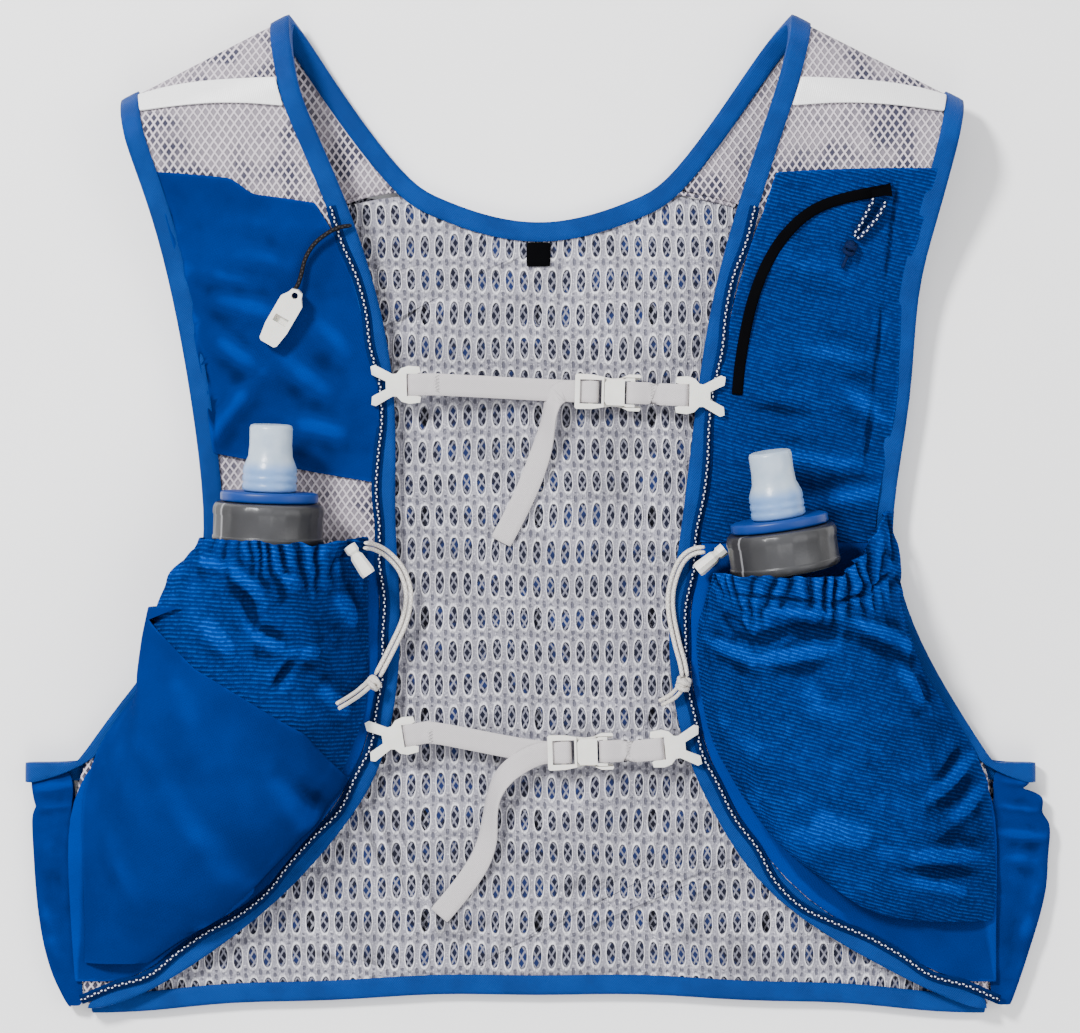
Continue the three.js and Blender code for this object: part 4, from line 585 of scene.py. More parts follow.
def merged_copy(node):
    """The node's solid as whole faces instead of loose triangles."""
    bm = bmesh.new()
    bm.from_mesh(nodes[node].data)
    bmesh.ops.remove_doubles(bm, verts=bm.verts, dist=WELD)
    bmesh.ops.join_triangles(
        bm, faces=bm.faces, angle_face_threshold=math.radians(38), angle_shape_threshold=math.radians(60))
    return bm


def refined(node, levels, rim_angle=55):
    """The node's solid rounded by subdivision, with its rims kept crisp."""
    bm = merged_copy(node)
    creases = bm.edges.layers.float.new("crease_edge")
    for edge in bm.edges:
        if len(edge.link_faces) == 2 and edge.calc_face_angle(0) > math.radians(rim_angle):
            edge[creases] = RIM_CREASE
    mesh = bpy.data.meshes.new("coarse")
    bm.to_mesh(mesh)
    bm.free()
    coarse = bpy.data.objects.new("coarse", mesh)
    bpy.context.collection.objects.link(coarse)
    modifier = coarse.modifiers.new("subdivide", "SUBSURF")
    modifier.levels = levels
    modifier.render_levels = levels
    depsgraph = bpy.context.evaluated_depsgraph_get()
    fine = bmesh.new()
    fine.from_mesh(coarse.evaluated_get(depsgraph).to_mesh())
    bpy.data.objects.remove(coarse)
    fine.normal_update()
    return fine


def ridge(place, fold):
    """Height at a place of one straight fold: x, y, to_x, to_y, height and width in millimetres."""
    x, y, to_x, to_y, height, width = fold
    start = Vector((x, y))
    run = Vector((to_x, to_y)) - start
    here = Vector((place.x / MM, place.y / MM)) - start
    share = ramp(here.dot(run), 0, run.length_squared)
    away = (here - run * share).length
    taper = math.sin(math.pi * min(max(share, 0.06), 0.94))
    return height * taper * math.exp(-((away / width) ** 2))


def ridges(place, folds):
    return sum(ridge(place, fold) for fold in folds)


def crumple(place, size, seed):
    """Soft random dents about as wide as size, from -1 to 1."""
    return noise.fractal(place / (size * MM) + Vector((seed, 0, 0)), 1.0, 2.0, 3)


def push(bm, direction, height):
    """Moves each vertex along direction(place) by height(place) millimetres."""
    for vertex in bm.verts:
        here = vertex.co.copy()
        vertex.co = here + direction(here) * (height(here) * MM)
    bm.normal_update()


def push_up(bm, height):
    push(bm, lambda place: UP, height)


def mark_crests(bm):
    """Keeps how far each vertex stands above the cloth near it, in millimetres, in "crest"."""
    bm.verts.ensure_lookup_table()
    bm.verts.index_update()
    crest = bm.verts.layers.float.new("crest")
    bm.normal_update()
    places = np.array([vertex.co for vertex in bm.verts])
    normals = np.array([vertex.normal for vertex in bm.verts])
    pairs = np.array([[vertex.index for vertex in edge.verts] for edge in bm.edges])
    pairs = np.concatenate([pairs, pairs[:, ::-1]])
    counts = np.bincount(pairs[:, 0], minlength=len(places))[:, None]
    smooth = places.copy()
    for _ in range(CREST_ROUNDS):
        total = np.zeros_like(smooth)
        for axis in range(3):
            values = smooth[pairs[:, 1], axis]
            total[:, axis] = np.bincount(pairs[:, 0], weights=values, minlength=len(places))
        smooth = 0.5 * smooth + 0.5 * total / counts
    heights = ((places - smooth) * normals).sum(axis=1) / MM
    for vertex, height in zip(bm.verts, heights):
        vertex[crest] = height


# ---- cords
DRAWCORD = 2
WHISTLE_CORD = 2
ZIP_CORD = 2.5
STRAND_SPACING = 1.15
END_SLIM = 0.72
DRAWCORD_ROUTES = {
    "left": [
        (-78, -12.8, 35), (-74, -13.6, 25.4), (-68.6, -16.8, 18.2), (-62.5, -23.7, 15.4), (-59.4, -32.4, 13.7),
        (-59.4, -40, 13.6), (-61.4, -48.4, 13.9), (-65.2, -56.8, 15.8), (-69.6, -65.6, 17.4), (-73, -72, 18),
    ],
    "right": [
        (75.2, -14.8, 22.4), (70.8, -15.4, 20), (66.2, -18.4, 17.6), (62.6, -24.8, 15.6), (60.2, -34.4, 14.4),
        (60.4, -44.5, 14.4), (62.9, -57.1, 15.8), (65.4, -66.4, 17.4), (66.4, -72.4, 18.4),
    ],
}
WHISTLE_CORD_ROUTE = [
    (-84.6, 131.8, 24.4), (-90.4, 130.6, 26.6), (-96, 127.6, 27.2), (-101.6, 122.8, 27), (-105.4, 116.4, 26.2),
    (-107.2, 109.4, 25.6), (-108.8, 104.6, 26.4), (-111.2, 101.4, 26.2),
]


def smooth_route(points, steps):
    """Points evenly shared along a smooth curve through the given ones, in metres."""
    ends = [2 * points[0] - points[1], *points, 2 * points[-1] - points[-2]]
    fine = []
    for i in range(1, len(ends) - 2):
        before, start, end, after = ends[i - 1:i + 3]
        for k in range(12):
            t = k / 12
            square = 2 * before - 5 * start + 4 * end - after
            cube = 3 * start - before - 3 * end + after
            fine.append(0.5 * (2 * start + (end - before) * t + square * t * t + cube * t ** 3))
    fine.append(points[-1])
    lengths = np.cumsum([0] + [(b - a).length for a, b in zip(fine, fine[1:])])
    targets = np.linspace(0, lengths[-1], steps + 1)
    return [Vector(place) for place in zip(*(np.interp(targets, lengths, axis) for axis in zip(*fine)))]


def way_layers(bm):
    return [bm.verts.layers.float.new(name) for name in ("along", "around")]


def swept(route, outline, round_ends=False):
    """A solid of the outline's section along a route, with lengths kept in "along" and "around"."""
    bm = bmesh.new()
    along, around = way_layers(bm)
    count = len(outline)
    travelled = 0
    ring = []
    for i, place in enumerate(route):
        if i > 0:
            travelled += (place - route[i - 1]).length
            near = {edge for vertex in ring for edge in vertex.link_edges}
            edges = [edge for edge in near if all(vertex in ring for vertex in edge.verts)]
            made = bmesh.ops.extrude_edge_only(bm, edges=edges)["geom"]
            fresh = [v for v in made if isinstance(v, bmesh.types.BMVert)]
            ring = [min(fresh, key=lambda v, old=old: (v.co - old.co).length) for old in ring]
        else:
            ring = [bm.verts.new(Vector((0, 0, 0.001 * k))) for k in range(count)]
            for pair in zip(ring, ring[1:] + ring[:1]):
                bm.edges.new(pair)
        ahead = (route[min(i + 1, len(route) - 1)] - route[max(i - 1, 0)]).normalized()
        side = ahead.cross(UP)
        side = side.normalized() if side.length > 0.05 else Vector((1, 0, 0))
        top = side.cross(ahead).normalized()
        slim = END_SLIM if round_ends and i in (0, len(route) - 1) else 1
        for k, (vertex, (across, height)) in enumerate(zip(ring, outline)):
            vertex.co = place + side * (across * slim * MM) + top * (height * slim * MM)
            vertex[along] = travelled
            vertex[around] = 1 - abs(2 * k / count - 1)
    bmesh.ops.holes_fill(bm, edges=bm.edges, sides=count)
    bmesh.ops.recalc_face_normals(bm, faces=bm.faces)
    return bm


def circle(diameter, sides=10):
    turns = [2 * math.pi * k / sides for k in range(sides)]
    return [(diameter / 2 * math.cos(turn), diameter / 2 * math.sin(turn)) for turn in turns]


def beside(route, offset):
    """The route moved sideways by an offset in millimetres, seen from above."""
    moved = []
    for i, place in enumerate(route):
        ahead = route[min(i + 1, len(route) - 1)] - route[max(i - 1, 0)]
        across = Vector((ahead.y, -ahead.x, 0)).normalized()
        moved.append(place + across * (offset * MM))
    return moved


def make_free_cord(name, route, diameter, slot, replaced):
    piece = add_piece(name, swept(route, circle(diameter), round_ends=True), slot, replaced)


# each knot's middle, the way its cord runs and its radius, then each turn's shift and skew
KNOT_WRAPS = {
    "drawcord_knot_left": ((-74.6, -75.4, 19.8), (-6.6, -7, 6), 3.0),
    "drawcord_knot_right": ((65.8, -75.6, 18.4), (-2, -7, -0.2), 3.0),
    "zip_pull_knot": ((140.8, 121.4, 25.6), (-3.2, -8.2, -1.2), 2.6),
}
WRAP_TURNS = ((-1.5, 0.5), (0, -0.35), (1.5, 0.45))
WRAP_RADIUS = 1.05


def add_wraps(bm, middle, ahead, radius):
    """Three turns of cord drawn tight round a knot, each a little askew."""
    for shift, skew in WRAP_TURNS:
        ring = bmesh.new()
        section = Matrix.Translation(mm(radius - 0.5, 0)) @ Matrix.Rotation(math.pi / 2, 4, "X")
        bmesh.ops.create_circle(ring, segments=8, radius=WRAP_RADIUS * MM, matrix=section)
        bmesh.ops.spin(ring, geom=ring.verts[:] + ring.edges[:], axis=UP, cent=(0, 0, 0), angle=2 * math.pi,
                       steps=24, use_merge=True)
        bmesh.ops.remove_doubles(ring, verts=ring.verts, dist=WELD)
        bmesh.ops.recalc_face_normals(ring, faces=ring.faces)
        heading = ahead.to_track_quat("Z", "Y").to_matrix().to_4x4() @ Matrix.Rotation(skew, 4, "X")
        place = Matrix.Translation(middle + ahead * (shift * MM)) @ heading
        bmesh.ops.transform(ring, matrix=place, verts=ring.verts)
        mesh = bpy.data.meshes.new("wrap")
        ring.to_mesh(mesh)
        ring.free()
        bm.from_mesh(mesh)
        bpy.data.meshes.remove(mesh)


def make_knot(node, slot):
    """The knot and its two short tails, rounded, with the turns of cord that tie it."""
    bm = refined(node, 2, 80)
    middle, ahead, radius = KNOT_WRAPS[node]
    add_wraps(bm, mm(*middle), Vector(ahead).normalized(), radius)
    along, around = way_layers(bm)
    for vertex in bm.verts:
        vertex[along] = vertex.co.x + vertex.co.y
        vertex[around] = vertex.co.z / (DRAWCORD * MM)
    centre = sum((v.co for v in bm.verts), Vector()) / len(bm.verts)
    push(bm, lambda place: (place - centre).normalized(), lambda place: 0.25 * crumple(place, 2.2, 5))
    return add_piece(f"{node}_tied", bm, slot, [node])


def make_cords():
    for side in SIDES:
        knot = make_knot(f"drawcord_knot_{side}", "pale_cord")
        centre = smooth_route([mm(*point) for point in DRAWCORD_ROUTES[side]], 34)
        for strand, way in (("a", 1), ("b", -1)):
            route = beside(centre, way * STRAND_SPACING)
            make_free_cord(f"drawcord_{side}_{strand}_braid", route, DRAWCORD, "pale_cord",
                           [f"drawcord_{side}_{strand}"])
    route = smooth_route([mm(*point) for point in WHISTLE_CORD_ROUTE], 24)
    make_free_cord("whistle_cord_braid", route, WHISTLE_CORD, "dark_cord", ["whistle_cord"])


# ---- edge cords and their navy strips
def node_rings(node):
    """Middles of a tube's rings, found along Y, from the shoulder down."""
    bm = merged_copy(node)
    places = sorted((v.co.copy() for v in bm.verts), key=lambda p: -p.y)
    bm.free()
    rings = [[places[0]]]
    for place in places[1:]:
        if rings[-1][-1].y - place.y > RING_GAP * MM:
            rings.append([])
        rings[-1].append(place)
    return [sum(ring, Vector()) / len(ring) for ring in rings]


EDGE_CORD = 1.9
STRIP_DROP = 1.0
STRIP_SECTION = [(-2.2, 0), (2.2, 0), (2.2, 0.35), (-2.2, 0.35)]


def make_edge_cord(side):
    node = f"edge_cord_{side}"
    centre = smooth_route(node_rings(node), 150)
    add_piece(f"{node}_braid", swept(centre, circle(EDGE_CORD, 8), round_ends=True), "speckled_cord", [node])
    strip = swept([place - mm(0, 0, STRIP_DROP) for place in centre], STRIP_SECTION)
    add_piece(f"{node}_strip", strip, "speckled_cord", material=NAVY_STRIP)


# ---- cloth pieces
# each fold: x, y, to_x, to_y, height and width in millimetres
CHEST_FOLDS = {
    "left": [
        (-126, 66, -160, 22, 3.6, 5), (-132, 30, -100, 20, 2.0, 5), (-122, 76, -90, 52, 2.4, 6),
        (-152, 100, -116, 92, 2.2, 5),
        (-112, 44, -84, 36, 2.4, 5), (-148, 82, -126, 66, 2.4, 5), (-142, 120, -104, 114, 1.6, 6),
        (-104, 92, -82, 70, 1.8, 6),
        (-146, 136, -90, 128, 1.2, 6), (-156, 112, -122, 104, 1.6, 4),
        (-167.5, 141, -163.9, 124.5, -1.4, 0.9), (-163.9, 124.5, -160.4, 102.3, -1.4, 0.9),
        (-160.4, 102.3, -155.5, 78.7, -1.4, 0.9), (-155.5, 78.7, -148.6, 57.9, -1.4, 0.9),
        (-148.6, 57.9, -147, 34.4, -1.4, 0.9),
    ],
    "right": [
        (162.5, 156, 156.4, 102, -1.2, 0.9), (156.4, 102, 152, 57, -1.2, 0.9), (152, 57, 148, 20, -1.2, 0.9),
        (96, 30, 156, 22, 1.8, 5), (108, 80, 156, 70, 1.6, 6), (110, 4, 164, 14, 2.0, 5),
        (104, 120, 150, 106, 1.8, 7),
        (136, 60, 164, 40, 1.6, 5), (90, 52, 130, 46, -1.2, 4),
    ],
}
POCKET_FOLDS = {
    "left": [
        (-174, -31, -152, -19, 1.8, 3.5), (-152, -19, -136, -22, 1.8, 3.5), (-136, -22, -121, -38, 2.2, 3),
        (-131, -31, -125, -49, -2.0, 2.2), (-125, -49, -113, -55, -1.8, 2.2), (-127, -50, -112, -60, 1.8, 3),
        (-113, -24, -107, -34, 2.6, 3), (-118, -76, -108, -62, -1.8, 2), (-108, -62, -98, -60, 1.8, 3),
        (-92, -32, -85, -52, 2.2, 4), (-150, -44, -134, -62, 1.4, 5), (-100, -74, -86, -92, 1.6, 4),
    ],
    "right": [
        (81, -42, 95, -55, -2.6, 2.5), (95, -55, 111, -50, -3.0, 2.5), (111, -50, 131, -52, -2.6, 2.5),
        (78, -55, 96, -64, 2.4, 3), (96, -64, 130, -59, 2.6, 3), (101, -42, 132, -44, 3.2, 3),
        (132, -44, 163, -57, 3.0, 3.5),
        (160, -53, 168, -66, 2.6, 3), (163, -57, 171, -69, -2.4, 2.5), (171, -69, 179, -85, -2.4, 2.5),
        (158, -62, 172, -88, 2.0, 4), (171, -128, 195, -108, 2.4, 3), (183, -138, 202, -120, 2.4, 3),
        (176, -122, 192, -104, -1.8, 2.2), (167, -151, 202, -153, 2.0, 3), (163, -163, 195, -171, 2.0, 3),
        (166, -157, 198, -161, -1.6, 2.2), (75, -100, 103, -149, -1.8, 4), (84, -84, 104, -116, 1.4, 6),
        (120, -130, 150, -150, 1.6, 7), (112, -72, 136, -96, 1.2, 7), (130, -38, 146, -34, -1.6, 0.9),
        (146, -34, 158, -24, -1.6, 0.9), (84, -34, 130, -38, -1.2, 0.9),
    ],
}
OVERLAY_FOLDS = [
    (-190, -80, -120, -190, 1.8, 9), (-160, -60, -150, -110, 1.6, 8), (-120, -112, -100, -150, 1.6, 6),
    (-196, -130, -170, -196, 2.2, 8), (-150, -196, -100, -140, 1.4, 6), (-110, -116, -92, -134, -1.4, 5),
]
SIDE_FOLDS = {
    "left": [
        (-233, -124, -208, -121, 1.8, 2.4), (-232, -133, -208, -131, 1.4, 2), (-230, -160, -216, -210, 1.2, 4),
    ],
    "right": [
        (206, -119, 232, -123, 1.8, 2.4), (206, -131, 232, -134, 1.6, 2), (206, -143, 234, -146, 1.8, 2.4),
        (208, -155, 232, -156, 1.2, 3), (228, -160, 216, -214, 1.2, 4),
    ],
}
FLASK_AXES = {
    "left": ((-121, -9), (-141, -115)),
    "right": ((112, -22), (150, -155)),
}
FLASK_MIDDLE = 20.4
MOUTHS = {"left": -9, "right": -22}
GATHER_PITCH = 6.4
GATHER_HEIGHT = 4.2
DEEPEST_FOLD = -1.4
GATHER_SHARE = {
    "left": [(-170, 0.2), (-132, 0.35), (-119, 1.1), (-98, 1.1), (-84, 0.5)],
    "right": [(72, 0.6), (88, 1), (134, 1.1), (158, 0.6)],
}
GATHER_REACH = 26
# x of a place along the mouth and how far its edge is drawn down there
MOUTH_SAG = {
    "left": [(-160, 0), (-130, 0.5), (-112, 4), (-95, 5.5), (-80, 4)],
    "right": [(75, 0), (92, 2), (106, 4), (120, 6), (136, 11), (146, 7), (153, 0), (160, 0)],
}
# how the bottom of the right pocket and of its flask stands up: its ramps along x and y, and its height
BOTTOM_LIFT = {"x": (120, 50), "y": (-150, -44), "height": 11}
FLASK_LIFT = 1.3
FLASK_INSET = 1.6
# the upper edge of the smooth pocket: x, y and slope
OVERLAY_EDGE = (-182, -34, -0.72)
SAG_FADE = 45
CHEST_SPREAD = {"left": 1.06, "right": 1.05}
CHEST_INNER = 78
CHEST_REACH = 22
CHEST_TUCK = 3
CHEST_TOP_TUCK = 4
# ramps: y of the top's further tuck, x and y of the left pocket's stepped top, y of the right one's bottom
CHEST_TOP = (112, 20)
STEP_ACROSS = (-141, 14)
STEP_UP = (120, 24)
CHEST_BOTTOM = (10, -16)
STEP_RISE = 1.5
STEP_FALL = 6
CHEST_DROP = 3.2
GUSSET_EDGE = (190, 12)
GUSSET_REACH = 3.5


def stepped(value, rows):
    """The second number of the rows at a value of the first, straight between rows."""
    for (x0, y0), (x1, y1) in zip(rows, rows[1:]):
        if value <= x1:
            return y0 + (y1 - y0) * ramp(value, x0, x1 - x0)
    return rows[-1][1]


def flask_axis_x(side, y):
    (x0, y0), (x1, y1) = FLASK_AXES[side]
    return x0 + (x1 - x0) * (y - y0) / (y1 - y0)


def off_flask(side):
    """Direction away from the middle of the flask, for a place on the cloth round it."""
    def direction(place):
        out = Vector((place.x - flask_axis_x(side, place.y / MM) * MM, 0, place.z - FLASK_MIDDLE * MM))
        return out.normalized() if out.length > 0 else UP
    return direction


def gather(side, place):
    """Pleats drawn in by the cord at the mouth, sharp in their valleys and fading down the pocket."""
    x, y = place.x / MM, place.y / MM
    edge = MOUTHS[side] - stepped(x, MOUTH_SAG[side])
    reach = GATHER_REACH * (1 + 0.6 * crumple(Vector((place.x, 0, 0)), 9, 21))
    fade = max(1 - max(edge - y, 0) / reach, 0) ** 1.2
    pleat = abs(math.sin(math.pi * (x / GATHER_PITCH + 1.3 * crumple(place, 34, 3)))) ** 0.7
    return (pleat - 0.35) * fade * stepped(x, GATHER_SHARE[side])


def lifted(side, x, y):
    """How far the bottom of the right pocket and of its flask stands up from the frame's."""
    if side == "left":
        return 0
    share = ramp(x, *BOTTOM_LIFT["x"]) * ramp(y, *BOTTOM_LIFT["y"])
    return BOTTOM_LIFT["height"] * share * share


def uncovered(side, place):
    """1 where the bottle pocket shows, and small where the smooth pocket lies over it."""
    if side == "right":
        return 1
    x, y, slope = OVERLAY_EDGE
    edge = y + slope * (place.x / MM - x)
    return 0.05 + 0.95 * ramp(place.y / MM, edge - 3, 8)


def make_bottle_pocket(side):
    node = f"bottle_pocket_{side}"
    bm = refined(node, 3)
    for vertex in bm.verts:
        x, y = vertex.co.x / MM, vertex.co.y / MM
        fade = max(1 - max(MOUTHS[side] - y, 0) / SAG_FADE, 0) ** 1.5
        sag = stepped(x, MOUTH_SAG[side]) + 1.6 * crumple(Vector((vertex.co.x, 0, 0)), 8, 13)
        vertex.co.y += (lifted(side, x, y) - sag * fade) * MM

    def height(place):
        cloth = 1.8 * ridges(place, POCKET_FOLDS[side]) + 1.1 * (crumple(place, 20, 11) + 0.5)
        return max(GATHER_HEIGHT * gather(side, place) + cloth, DEEPEST_FOLD) * uncovered(side, place)

    push(bm, off_flask(side), height)
    add_cloth(node, bm, "ribbed_cloth", material=SLANTED_RIBS if side == "right" else None)


def make_overlay():
    bm = refined("overlay_pocket_left", 3)
    push(bm, off_flask("left"), lambda place: 0.9 + ridges(place, OVERLAY_FOLDS) + crumple(place, 40, 2))
    add_cloth("overlay_pocket_left", bm, "plain_cloth")


def make_chest_pocket(side):
    node = f"upper_pocket_{side}"
    bm = refined(node, 3)
    inner = -CHEST_INNER if side == "left" else CHEST_INNER
    for vertex in bm.verts:
        x, y = vertex.co.x / MM, vertex.co.y / MM
        near = max(1 - abs(x - inner) / CHEST_REACH, 0)
        tuck = (CHEST_TUCK + CHEST_TOP_TUCK * ramp(y, *CHEST_TOP)) * near
        x = inner + (x - inner) * CHEST_SPREAD[side] - math.copysign(tuck, inner)
        if side == "left":
            step = ramp(x, *STEP_ACROSS)
            y += (STEP_RISE - STEP_FALL * step * step * (3 - 2 * step)) * ramp(y, *STEP_UP)
        else:
            y -= CHEST_DROP * ramp(y, *CHEST_BOTTOM)
        vertex.co = mm(x, y, vertex.co.z / MM)
    push_up(bm, lambda place: ridges(place, CHEST_FOLDS[side]) + 0.9 * (crumple(place, 26, 7) + 0.5))
    if side == "left":
        add_cloth(node, bm, "plain_cloth")
    else:
        add_cloth(node, bm, "ribbed_cloth", material=SLANTED_RIBS)


# each sheet's finish, levels of subdivision, ripple's height and ripple's width
SIDE_SHEETS = (
    ("strap_mesh", "net_mesh", 2, 0.5, 24), ("gusset", "plain_cloth", 2, 0.35, 30),
    ("side_panel", "plain_cloth", 3, 0.8, 14), ("reflective_band", "reflective_tape", 3, 0.3, 16),
    ("armhole_binding", "blue_binding", 2, 0.3, 14),
)
# each trim's finish, ripple's height and ripple's width
TRIMS = (
    ("sternum_webbing_upper", "webbing", 0.2, 12), ("sternum_webbing_lower", "webbing", 0.2, 12),
    ("sternum_webbing_short_upper", "webbing", 0.1, 10), ("sternum_webbing_short_lower", "webbing", 0.1, 10),
    ("zip_tape", "black_tape", 0.3, 7), ("size_label", "black_tape", 0.1, 8),
)
LONG_BINDINGS = (("neck_binding", 16), ("hem_binding", 18))


def make_side_sheet(side, name, slot, levels, ripple, size):
    node = f"{name}_{side}"
    rows = SIDE_FOLDS[side] if name == "side_panel" else []
    bm = refined(node, levels, 110 if name == "side_panel" else 50)
    if name == "gusset":
        for vertex in bm.verts:
            reach = ramp(abs(vertex.co.x) / MM, *GUSSET_EDGE)
            vertex.co.x += math.copysign(GUSSET_REACH * reach * MM, vertex.co.x)
    push_up(bm, lambda place: ripple * crumple(place, size, 4) + ridges(place, rows))
    add_cloth(node, bm, slot)


def make_soft_sheets():
    """Meshes, gussets, side panels, bands and tapes: rounded, with shallow ripples."""
    for side in SIDES:
        for row in SIDE_SHEETS:
            make_side_sheet(side, *row)
    for node, slot, ripple, size in TRIMS:
        bm = refined(node, 2, 50)
        push_up(bm, lambda place, r=ripple, s=size: r * crumple(place, s, 4))
        add_piece(f"{node}_woven", bm, slot, [node])
    for node, size in LONG_BINDINGS:
        bm = refined(node, 2, 50)
        push_up(bm, lambda place, s=size: 0.3 * crumple(place, s, 9) if place.z > 2 * MM else 0)
        add_cloth(node, bm, "blue_binding")


# ---- flask heads
COLLAR_DIAMETER = 50
COLLAR_HEIGHT = 19
CAP_HEIGHT = 4.6
HEAD_GAP = 0.3
VALVE_WIDTH = 20.4
VALVE_HEIGHT = 30
KNURLS = 24
KNURL_DEPTH = 0.5
# how each flask's head is turned about X and Z, in radians
HEADS = {
    "left": {"tilt": 0.06, "heading": -0.035},
    "right": {"tilt": 0.1, "heading": 0.145},
}
# shares of the width and of the height
COLLAR_PROFILE = [
    (0.9, 0), (0.97, 0.03), (1, 0.1), (1, 0.2), (0.985, 0.22), (0.985, 0.7), (1, 0.74), (1, 0.86),
    (0.975, 0.95), (0.93, 1), (0.6, 1), (0.6, 0.9),
]
VALVE_PROFILE = [
    (0, 0), (0.56, 0), (0.6, 0.03), (0.6, 0.1), (0.575, 0.13), (0.6, 0.16), (0.6, 0.22), (0.575, 0.25),
    (0.6, 0.28), (0.585, 0.36), (0.54, 0.44), (0.49, 0.52), (0.47, 0.7), (0.475, 0.94), (0.455, 0.985),
    (0.4, 1), (0.28, 0.97), (0, 0.96),
]


def head_matrix(side):
    """Place of a flask's head, with +Y up the flask, from its collar's box."""
    low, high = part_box(f"flask_collar_{side}")
    head = HEADS[side]
    turn = Matrix.Rotation(head["heading"], 4, "Z") @ Matrix.Rotation(head["tilt"], 4, "X")
    middle = (Vector(low) + Vector(high)) / 2
    return Matrix.Translation(middle) @ turn @ Matrix.Translation(mm(0, -COLLAR_HEIGHT / 2))


def turned(profile, width, height, segments):
    """A profile of shares of width and height spun about +Y."""
    bm = bmesh.new()
    along, around = way_layers(bm)
    row = [bm.verts.new(mm(radius * width, level * height)) for radius, level in profile]
    edges = [bm.edges.new(pair) for pair in zip(row, row[1:])]
    bmesh.ops.spin(bm, geom=row + edges, axis=(0, 1, 0), cent=(0, 0, 0), angle=2 * math.pi, steps=segments,
                   use_merge=True)
    bmesh.ops.remove_doubles(bm, verts=bm.verts, dist=WELD)
    bmesh.ops.holes_fill(bm, edges=bm.edges, sides=segments)
    bmesh.ops.recalc_face_normals(bm, faces=bm.faces)
    for vertex in bm.verts:
        vertex[along] = vertex.co.y / (height * MM)
        vertex[around] = math.atan2(vertex.co.z, vertex.co.x) / math.pi
    return bm


def make_flask_head(side):
    place = head_matrix(side)
    collar = turned(COLLAR_PROFILE, COLLAR_DIAMETER / 2, COLLAR_HEIGHT, 72)
    for vertex in collar.verts:
        turn = math.atan2(vertex.co.z, vertex.co.x)
        level = vertex.co.y / (COLLAR_HEIGHT * MM)
        if 0.7 < level < 0.9 and math.cos(turn * KNURLS) > 0.3:
            vertex.co -= Vector((vertex.co.x, 0, vertex.co.z)).normalized() * (KNURL_DEPTH * MM)
    bmesh.ops.transform(collar, matrix=place, verts=collar.verts)
    piece = add_piece(f"flask_collar_{side}_turned", collar, "smoked_plastic", [f"flask_collar_{side}"])
    soften(piece, 0.25, 30)

    cap = merged_copy(f"flask_cap_{side}")
    piece = add_piece(f"flask_cap_{side}_moulded", cap, "blue_plastic", [f"flask_cap_{side}"])
    soften(piece, 1.1, 30)

    low_edge = COLLAR_HEIGHT + CAP_HEIGHT + 2 * HEAD_GAP
    valve = turned(VALVE_PROFILE, VALVE_WIDTH, VALVE_HEIGHT, 48)
    bmesh.ops.transform(valve, matrix=place @ Matrix.Translation(mm(0, low_edge)), verts=valve.verts)
    add_piece(f"bite_valve_{side}_moulded", valve, "clear_rubber", [f"bite_valve_{side}"])

    body = refined(f"flask_body_{side}", 2, 70)
    for vertex in body.verts:
        vertex.co.y += FLASK_LIFT * lifted(side, vertex.co.x / MM, vertex.co.y / MM) * MM
    push(body, off_flask(side), lambda here: 0.3 * crumple(here, 20, 6) - FLASK_INSET)
    add_piece(f"flask_body_{side}_film", body, "flask_film", [f"flask_body_{side}"])


def soften(piece, width, angle):
    """Rounds a piece's edges with a live bevel."""
    modifier = piece.modifiers.new("soften", "BEVEL")
    modifier.width = width * MM
    modifier.segments = 3
    modifier.limit_method = "ANGLE"
    modifier.angle_limit = math.radians(angle)


# ---- hard pieces kept from the frame
def dress_nodes():
    slots = {entry["node"]: entry["material_slot"] for entry in frame["record"]["subparts"]}
    for name, node in nodes.items():
        if node.hide_render:
            continue
        node.data.materials.clear()
        node.data.materials.append(FINISHES[slots[name]])
        if slots[name] == "white_plastic":
            soften(node, 0.35, 40)


BACK_FOLDS = [
    (-34, 20, -8, -70, 1.3, 7), (58, 44, 44, -20, 1.4, 5), (64, 20, 52, -48, 1.2, 4),
    (-78, -160, -40, -205, 1.6, 7),
    (-8, -150, 6, -205, 1.5, 8), (44, -140, 60, -205, 1.4, 7), (-100, -180, -84, -208, 1.4, 6),
    (-56, 60, -40, 20, 1.0, 5),
    (20, 100, 30, 60, 0.8, 8), (20, -60, 34, -110, 1.0, 7), (80, -170, 116, -200, 1.5, 6),
]


def make_back():
    def height(place):
        if place.z <= 3 * MM:
            return 0
        return ridges(place, BACK_FOLDS) + 0.3 * crumple(place, 22, 8)

    bm = refined("back_mesh", 2, 40)
    push_up(bm, height)
    add_cloth("back_mesh", bm, "spacer_mesh", "knit")
    add_piece("back_shell_cloth", refined("back_shell", 1, 40), "lining_cloth", ["back_shell"])


ZIP_STRANDS = {
    "a": [(151.2, 143.6, 29.6), (148.4, 138, 28.4), (145.4, 132, 27.2), (142.4, 126.8, 26.2)],
    "b": [(156.6, 142, 29.6), (153, 135.4, 28.4), (148.2, 129.6, 27.2), (143.9, 125.1, 26.2)],
}


def make_zip():
    for strand, points in ZIP_STRANDS.items():
        node = f"zip_pull_strand_{strand}"
        route = smooth_route([mm(*point) for point in points], 24)
        add_piece(f"{node}_braid", swept(route, circle(ZIP_CORD), round_ends=True), "speckled_cord", [node])
    make_knot("zip_pull_knot", "speckled_cord")


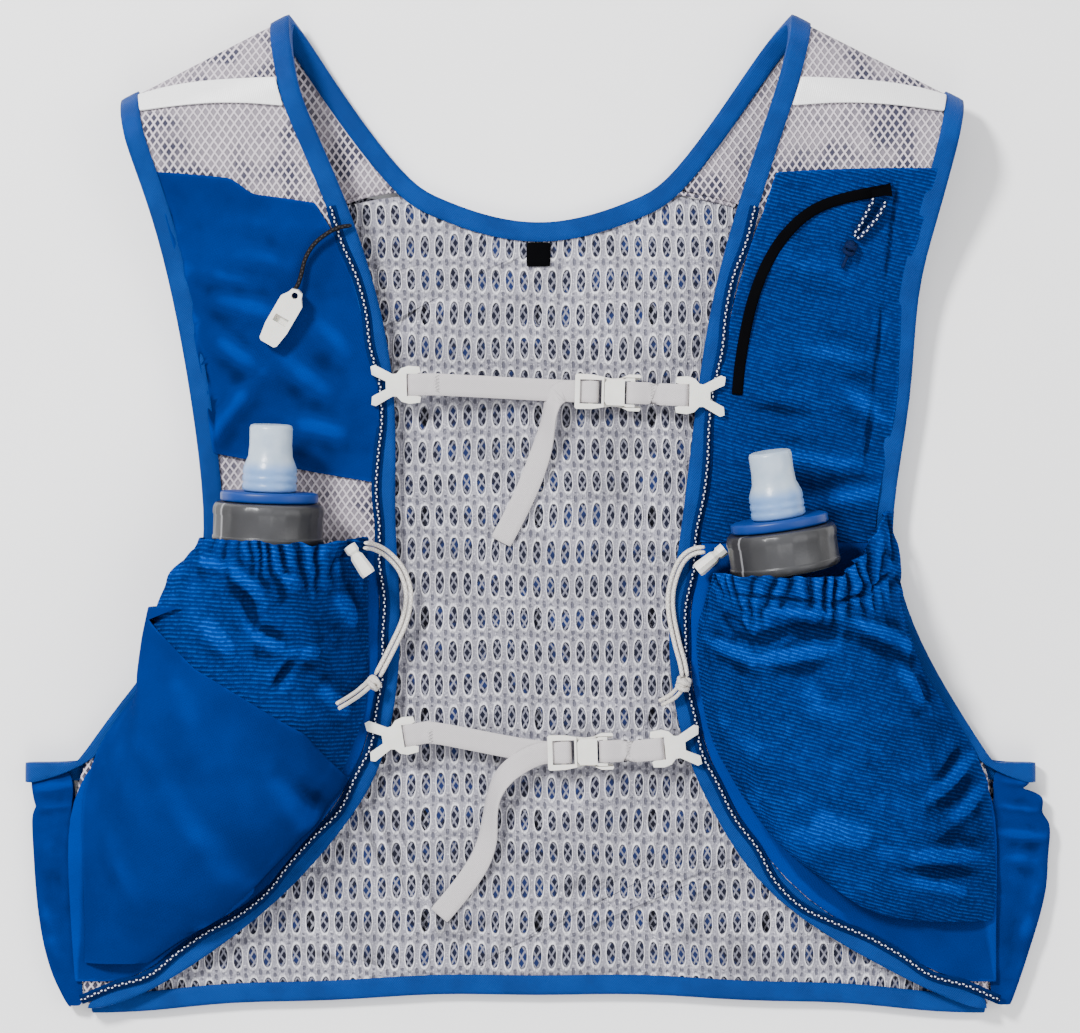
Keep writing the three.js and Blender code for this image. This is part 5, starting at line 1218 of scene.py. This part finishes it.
# rows of zigzag sewing: the piece sewn and the row's two ends
STITCH_ROWS = {
    "sternum_webbing_upper": (-46.5, 66, -46.2, 57),
    "sternum_webbing_short_upper": (51.8, 61.5, 51.4, 53),
    "sternum_webbing_lower": (-49.2, -97, -48.8, -106),
    "sternum_webbing_short_lower": (40.8, -100.5, 40.6, -108.5),
}
STITCH_HALF = 0.9
STITCH_STEPS = 12
YOKE_SEAMS = {
    "left": [(-90, 143), (-80, 146.2), (-68, 148.6), (-58, 149)],
    "right": [(90, 142), (80, 144.6), (68, 147.2), (58, 148)],
}
HOOK_SWELL = 0.55


def top_of(names, x, y):
    """Height in metres of the highest of the named pieces at a place in millimetres, or none."""
    heights = []
    for name in names:
        mesh = nodes[name].data
        tree = BVHTree.FromPolygons([v.co for v in mesh.vertices], [tuple(p.vertices) for p in mesh.polygons])
        place = tree.ray_cast(mm(x, y, 200), -UP)[0]
        if place is not None:
            heights.append(place.z)
    return max(heights) if heights else None


def make_stitches():
    for name, (x0, y0, x1, y1) in STITCH_ROWS.items():
        run = Vector((x1 - x0, y1 - y0))
        across = Vector((run.y, -run.x)).normalized() * STITCH_HALF
        route = []
        for k in range(STITCH_STEPS + 1):
            spot = Vector((x0, y0)) + run * (k / STITCH_STEPS) + across * (1 if k % 2 else -1)
            level = top_of([name], *spot)
            if level is not None:
                route.append(mm(*spot, level / MM + 0.3))
        add_piece(f"{name}_stitches", swept(route, circle(0.45, 6)), "webbing", material=PALE_THREAD)
    for side, points in YOKE_SEAMS.items():
        route = []
        for place in smooth_route([mm(*point) for point in points], 40):
            level = top_of([f"strap_mesh_{side}", "back_mesh"], place.x / MM, place.y / MM)
            if level is not None and level < 12 * MM:
                route.append(Vector((place.x, place.y, level + 0.4 * MM)))
        add_piece(f"yoke_seam_{side}", swept(route, circle(1.8, 8)), "net_mesh")


def make_hooks():
    """The strap hooks, fuller in their prongs than the frame's."""
    for name, node in nodes.items():
        if not name.startswith("sternum_hook"):
            continue
        bm = merged_copy(name)
        bm.normal_update()
        for vertex in bm.verts:
            vertex.co += mm(*vertex.normal.xy) * HOOK_SWELL
        soften(add_piece(f"{name}_moulded", bm, "white_plastic", [name]), 0.6, 40)


add_camera()
make_cords()
add_studio()
for side in SIDES:
    make_edge_cord(side)
    make_chest_pocket(side)
    make_bottle_pocket(side)
    make_flask_head(side)
make_overlay()
make_soft_sheets()
make_back()
make_zip()
make_hooks()
make_stitches()
dress_nodes()
